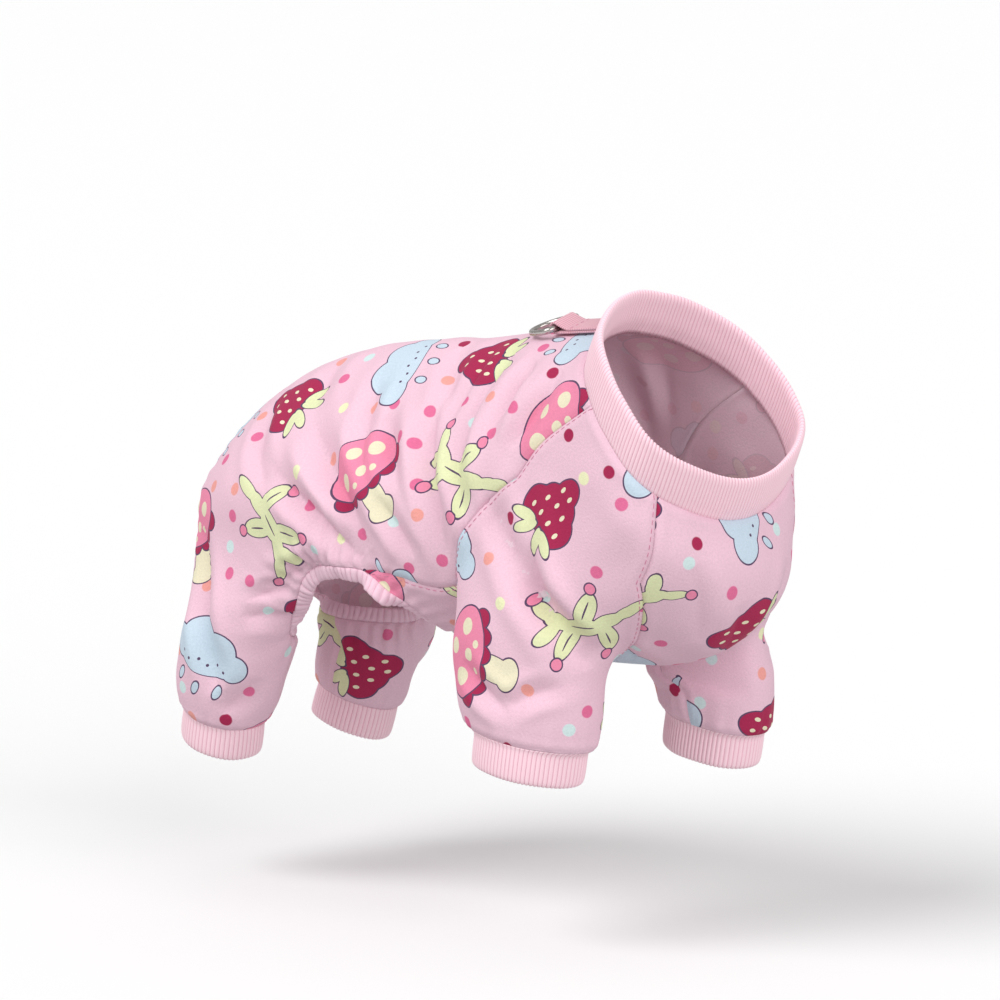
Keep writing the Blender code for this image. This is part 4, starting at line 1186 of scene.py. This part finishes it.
# The fold runs level past the gathers of the edge, so its sections don't cross each other.
for way in (normal, off):
    for _ in range(60):
        way += (np.roll(way, 1, axis=0) + np.roll(way, -1, axis=0)) / 2
        way /= np.linalg.norm(way, axis=1)[:, None]
fold = fine_outline((
    # distance off the cloth, height above its face, relief
    (0.00, -0.10, 0.1), (0.15, 1.00, 0.7), (0.40, 1.50, 0.9), (0.74, 1.40, 0.9),
    (0.95, 0.60, 0.5), (1.00, -1.30, 0.3), (0.95, -3.20, 0.5), (0.74, -4.00, 0.9),
    (0.30, -4.00, 0.7), (0.00, -3.20, 0.1),
), 16)
sections = [place + off * away * BINDING_WIDTH + normal * up * BINDING_SWELL
            for away, up, _ in fold]
mesh = band_mesh(np.stack(sections, axis=1), length, fold[:, 2], open_sides=1)
mesh = worked_mesh(mesh, ribbing, {"Pitch": length / crimps, "Depth": BINDING_DEPTH,
                                   "Unevenness": BINDING_UNEVENNESS, "Cloth": gathered})
# The crimped strip is one ply; its other face lies a cloth's thickness inside the fold.
turn_outward(mesh, BINDING_CLOTH)
binding = finished("opening_binding", mesh, gathered)


# Leash tab
# A strap of pink woven tape, folded round the bar of the ring, its two ends caught in the
# seam at the nape. The layers lie flat on each other and are stitched across beside the bar.
TAB_WIDTH = 0.0116
TAB_LENGTH = 0.0210
TAB_CLOTH = 0.0010
TAB_PLACE = Matrix.Translation((-0.0006, -0.0090, 0.0037))
TAB_TURN = Matrix.Rotation(math.radians(15), 4, "X") @ Matrix.Rotation(math.radians(-6), 4, "Y")
RING_WIRE = 0.0024
RING_PLAY = 0.0003
TAPE_RIB = 0.9
TAB_STITCH_STEP = 0.0024
TAB_STITCH_LENGTH = 0.0019

tape, tree, shader = new_material("woven_cotton_tape", 0.8, Sheen_Weight=0.25,
                                  Sheen_Roughness=0.5, Specular_IOR_Level=0.3)
strip = add(tree, "ShaderNodeUVMap", uv_map="strip")
across = add(tree, "ShaderNodeVectorMath", {0: strip, "Scale": 1000.0}, operation="SCALE")
yarns = add(tree, "ShaderNodeTexWave", {"Vector": across, "Scale": 0.314 / TAPE_RIB,
                                        "Distortion": 0.6, "Detail": 1.0, "Detail Scale": 2.0},
            bands_direction="X")
# Painted shade: the tape is coloured darker in the furrows between the raised yarn ribs and
# lighter on their tops, following the same wave as the bump.
shade = add(tree, "ShaderNodeMix", {0: yarns.outputs["Fac"], 6: linear("#cf93a2"),
                                    7: linear("#edbcc7")}, data_type="RGBA")
tree.links.new(shade.outputs[2], shader.inputs["Base Color"])
raised = add(tree, "ShaderNodeBump", {"Height": yarns.outputs["Fac"], "Strength": 0.6,
                                      "Distance": 0.0002})
tree.links.new(raised.outputs[0], shader.inputs["Normal"])

eye = RING_WIRE / 2 + RING_PLAY + TAB_CLOTH / 2
lower = -eye
route = [(x, lower) for x in np.linspace(TAB_LENGTH, 0.001, 22)]
route += [(eye * math.cos(t), eye * math.sin(t)) for t in np.radians(np.linspace(-90, -288, 30))]
bend = np.array([route[-1], (2.0 * eye, lower + TAB_CLOTH * 2.0),
                 (3.0 * eye, lower + TAB_CLOTH * 1.12)])
route += [tuple(smooth_curve((0, 1, 1.6), bend, t)) for t in np.linspace(0, 1.6, 12)[1:]]
route += [(x, lower + TAB_CLOTH * 1.08) for x in np.linspace(3.4 * eye, TAB_LENGTH, 18)]
route = np.array(route)
way = np.gradient(route, axis=0)
way /= np.linalg.norm(way, axis=1)[:, None]
aside = np.stack([way[:, 1], -way[:, 0]], axis=1)
ran = np.concatenate([[0], np.cumsum(np.linalg.norm(np.diff(route, axis=0), axis=1))])
half_width, half_cloth, turn_in = TAB_WIDTH / 2, TAB_CLOTH / 2, TAB_CLOTH * 0.45
outline = []
for corner_y, corner_n, first in ((1, 1, 0), (-1, 1, 90), (-1, -1, 180), (1, -1, 270)):
    for degrees in (first, first + 30, first + 60, first + 90):
        turn = math.radians(degrees)
        outline.append((corner_y * (half_width - turn_in) + turn_in * math.cos(turn),
                        corner_n * (half_cloth - turn_in) + turn_in * math.sin(turn)))
sides = len(outline)
verts, faces, flat = [], [], []
for (x, z), (nx, nz) in zip(route, aside):
    verts += [(x + nx * n, y, z + nz * n) for y, n in outline]
around = np.concatenate([[0], np.cumsum(np.linalg.norm(
    np.diff(np.array([*outline, outline[0]]), axis=0), axis=1))])
for i in range(len(route) - 1):
    for j in range(sides):
        k = (j + 1) % sides
        faces.append([i * sides + j, (i + 1) * sides + j, (i + 1) * sides + k, i * sides + k])
        flat += [(ran[i], around[j]), (ran[i + 1], around[j]), (ran[i + 1], around[j + 1]),
                 (ran[i], around[j + 1])]
for first, order in ((0, 1), ((len(route) - 1) * sides, -1)):
    ring = [first + j for j in range(sides)][::order]
    faces.append(ring)
    flat += [(ran[0], around[v - first]) for v in ring]
tab_mesh = bpy.data.meshes.new("tab")
tab_mesh.from_pydata(verts, [], faces)
tab_mesh.uv_layers.new(name="strip").data.foreach_set("uv", np.array(flat).ravel())
tab_mesh.transform(TAB_PLACE @ TAB_TURN)
turn_outward(tab_mesh)
tab = finished("leash_tab", tab_mesh, tape)

across_row = [(3.9 * eye, y, lower + TAB_CLOTH * 1.6) for y in
              np.linspace(-half_width * 0.8, half_width * 0.8, 8)]
row_mesh = bpy.data.meshes.new("tab_row")
row_mesh.from_pydata(across_row, [(i, i + 1) for i in range(7)], [])
row_mesh.transform(TAB_PLACE @ TAB_TURN)
stitched("tab_stitches_piece", row_mesh, TAB_STITCH_STEP, TAB_STITCH_LENGTH)


# Leash ring
# A D-shaped ring bent from steel wire and plated with bright nickel; its straight bar turns
# in the fold of the tab. The plate mirrors the room, with fine wear where a hook has run.
RING_WIDTH = 0.0172
RING_DEPTH = 0.0150
RING_CORNER = 0.0026
RING_SAG = math.radians(7)
WIRE_SIDES = 24

nickel, tree, shader = new_material("bright_nickel_plate", 0.2, 1.0)
spot = add(tree, "ShaderNodeTexCoord")
scuffs = add(tree, "ShaderNodeTexNoise", {"Vector": spot.outputs["Object"], "Scale": 900.0,
                                          "Detail": 4.0, "Roughness": 0.6})
shade = add(tree, "ShaderNodeMix", {0: scuffs, 6: linear("#a9a39f"), 7: linear("#c9c4c0")},
            data_type="RGBA")
tree.links.new(shade.outputs[2], shader.inputs["Base Color"])
worn = add(tree, "ShaderNodeMapRange", {"Value": scuffs, "From Min": 0.3, "From Max": 0.7,
                                        "To Min": 0.14, "To Max": 0.3})
tree.links.new(worn.outputs[0], shader.inputs["Roughness"])

half, bow = RING_WIDTH / 2, RING_DEPTH - RING_CORNER
left = [(0, y) for y in np.linspace(0, half - RING_CORNER, 6)[:-1]]
left += [(-RING_CORNER * (1 - math.cos(t)), half - RING_CORNER * (1 - math.sin(t)))
         for t in np.linspace(0, math.pi / 2, 12)]
left += [(-RING_CORNER - bow * math.sin(t), half * math.cos(t))
         for t in np.linspace(0, math.pi / 2, 32)[1:]]
route = np.array(left + [(x, -y) for x, y in reversed(left[1:-1])])
way = np.roll(route, -1, axis=0) - np.roll(route, 1, axis=0)
way /= np.linalg.norm(way, axis=1)[:, None]
verts, faces = [], []
for (x, y), (wx, wy) in zip(route, way):
    for turn in np.linspace(0, 2 * math.pi, WIRE_SIDES, endpoint=False):
        out = RING_WIRE / 2 * math.cos(turn)
        verts.append((x + wy * out, y - wx * out, RING_WIRE / 2 * math.sin(turn)))
for i in range(len(route)):
    n = (i + 1) % len(route)
    for j in range(WIRE_SIDES):
        k = (j + 1) % WIRE_SIDES
        faces.append([i * WIRE_SIDES + j, i * WIRE_SIDES + k, n * WIRE_SIDES + k,
                      n * WIRE_SIDES + j])
ring_mesh = bpy.data.meshes.new("ring")
ring_mesh.from_pydata(verts, [], faces)
ring_mesh.transform(TAB_PLACE @ TAB_TURN @ Matrix.Rotation(-RING_SAG, 4, "Y"))
turn_outward(ring_mesh)
finished("leash_ring", ring_mesh, nickel, "ring")


# Floor, light and camera
# A plain pale floor some way below the cuffs, since the garment hangs as it is worn, with
# soft studio light and the camera at the angle of the photograph.
FLOOR_DROP = 0.228
CAMERA_TURN = math.radians(42)
CAMERA_RISE = math.radians(8)
CAMERA_AWAY = 1.6
SCALE_PX_PER_M = 2700.0
ROOM_LIGHT = 0.52
SUNS = {
    # strength, angle across in degrees and the way towards the light
    "key": (1.65, 36, (-0.28, -0.85, 0.95)),
    "front": (1.45, 50, (1.0, -0.30, 0.45)),
}

floor_mesh = bpy.data.meshes.new("floor")
floor_mesh.from_pydata([(x, y, -FLOOR_DROP) for x, y in ((-40, -40), (40, -40), (40, 40),
                                                         (-40, 40))], [], [(0, 1, 2, 3)])
floor = bpy.data.objects.new("floor", floor_mesh)
floor_paint, tree, shader = new_material("matt_white_floor", 0.9)
shader.inputs["Base Color"].default_value = linear("#f8f8f8")
floor_mesh.materials.append(floor_paint)
bpy.context.scene.collection.objects.link(floor)
floor.visible_diffuse = False

world = bpy.data.worlds.new("studio")
bpy.context.scene.world = world
world.use_nodes = True
world.node_tree.nodes["Background"].inputs["Color"].default_value = (1, 1, 1, 1)
seen = add(world.node_tree, "ShaderNodeLightPath")
strength = add(world.node_tree, "ShaderNodeMapRange", {
    "Value": seen.outputs["Is Camera Ray"], "To Min": ROOM_LIGHT, "To Max": 1.0})
world.node_tree.links.new(strength.outputs[0],
                          world.node_tree.nodes["Background"].inputs["Strength"])
for name, (strength, across, towards) in SUNS.items():
    sun = bpy.data.lights.new(name, "SUN")
    sun.energy = strength
    sun.angle = math.radians(across)
    light = bpy.data.objects.new(name, sun)
    light.rotation_euler = Vector(towards).to_track_quat("Z", "Y").to_euler()
    bpy.context.scene.collection.objects.link(light)

sin_a, cos_a = math.sin(CAMERA_TURN), math.cos(CAMERA_TURN)
sin_e, cos_e = math.sin(CAMERA_RISE), math.cos(CAMERA_RISE)
back = Vector((sin_a * cos_e, -cos_a * cos_e, sin_e))
right = Vector((cos_a, sin_a, 0))
up = Vector((-sin_a * sin_e, cos_a * sin_e, cos_e))
aim = Vector(SEAT) - right * 0.0452 - up * 0.0648
camera_data = bpy.data.cameras.new("camera")
camera_data.sensor_width = 36
camera_data.lens = 36 * CAMERA_AWAY * SCALE_PX_PER_M / 1000
camera = bpy.data.objects.new("camera", camera_data)
turn = Matrix((right, up, back)).transposed().to_4x4()
camera.matrix_world = Matrix.Translation(aim + back * CAMERA_AWAY) @ turn
bpy.context.scene.collection.objects.link(camera)
bpy.context.scene.camera = camera
bpy.context.scene.view_settings.view_transform = "Standard"
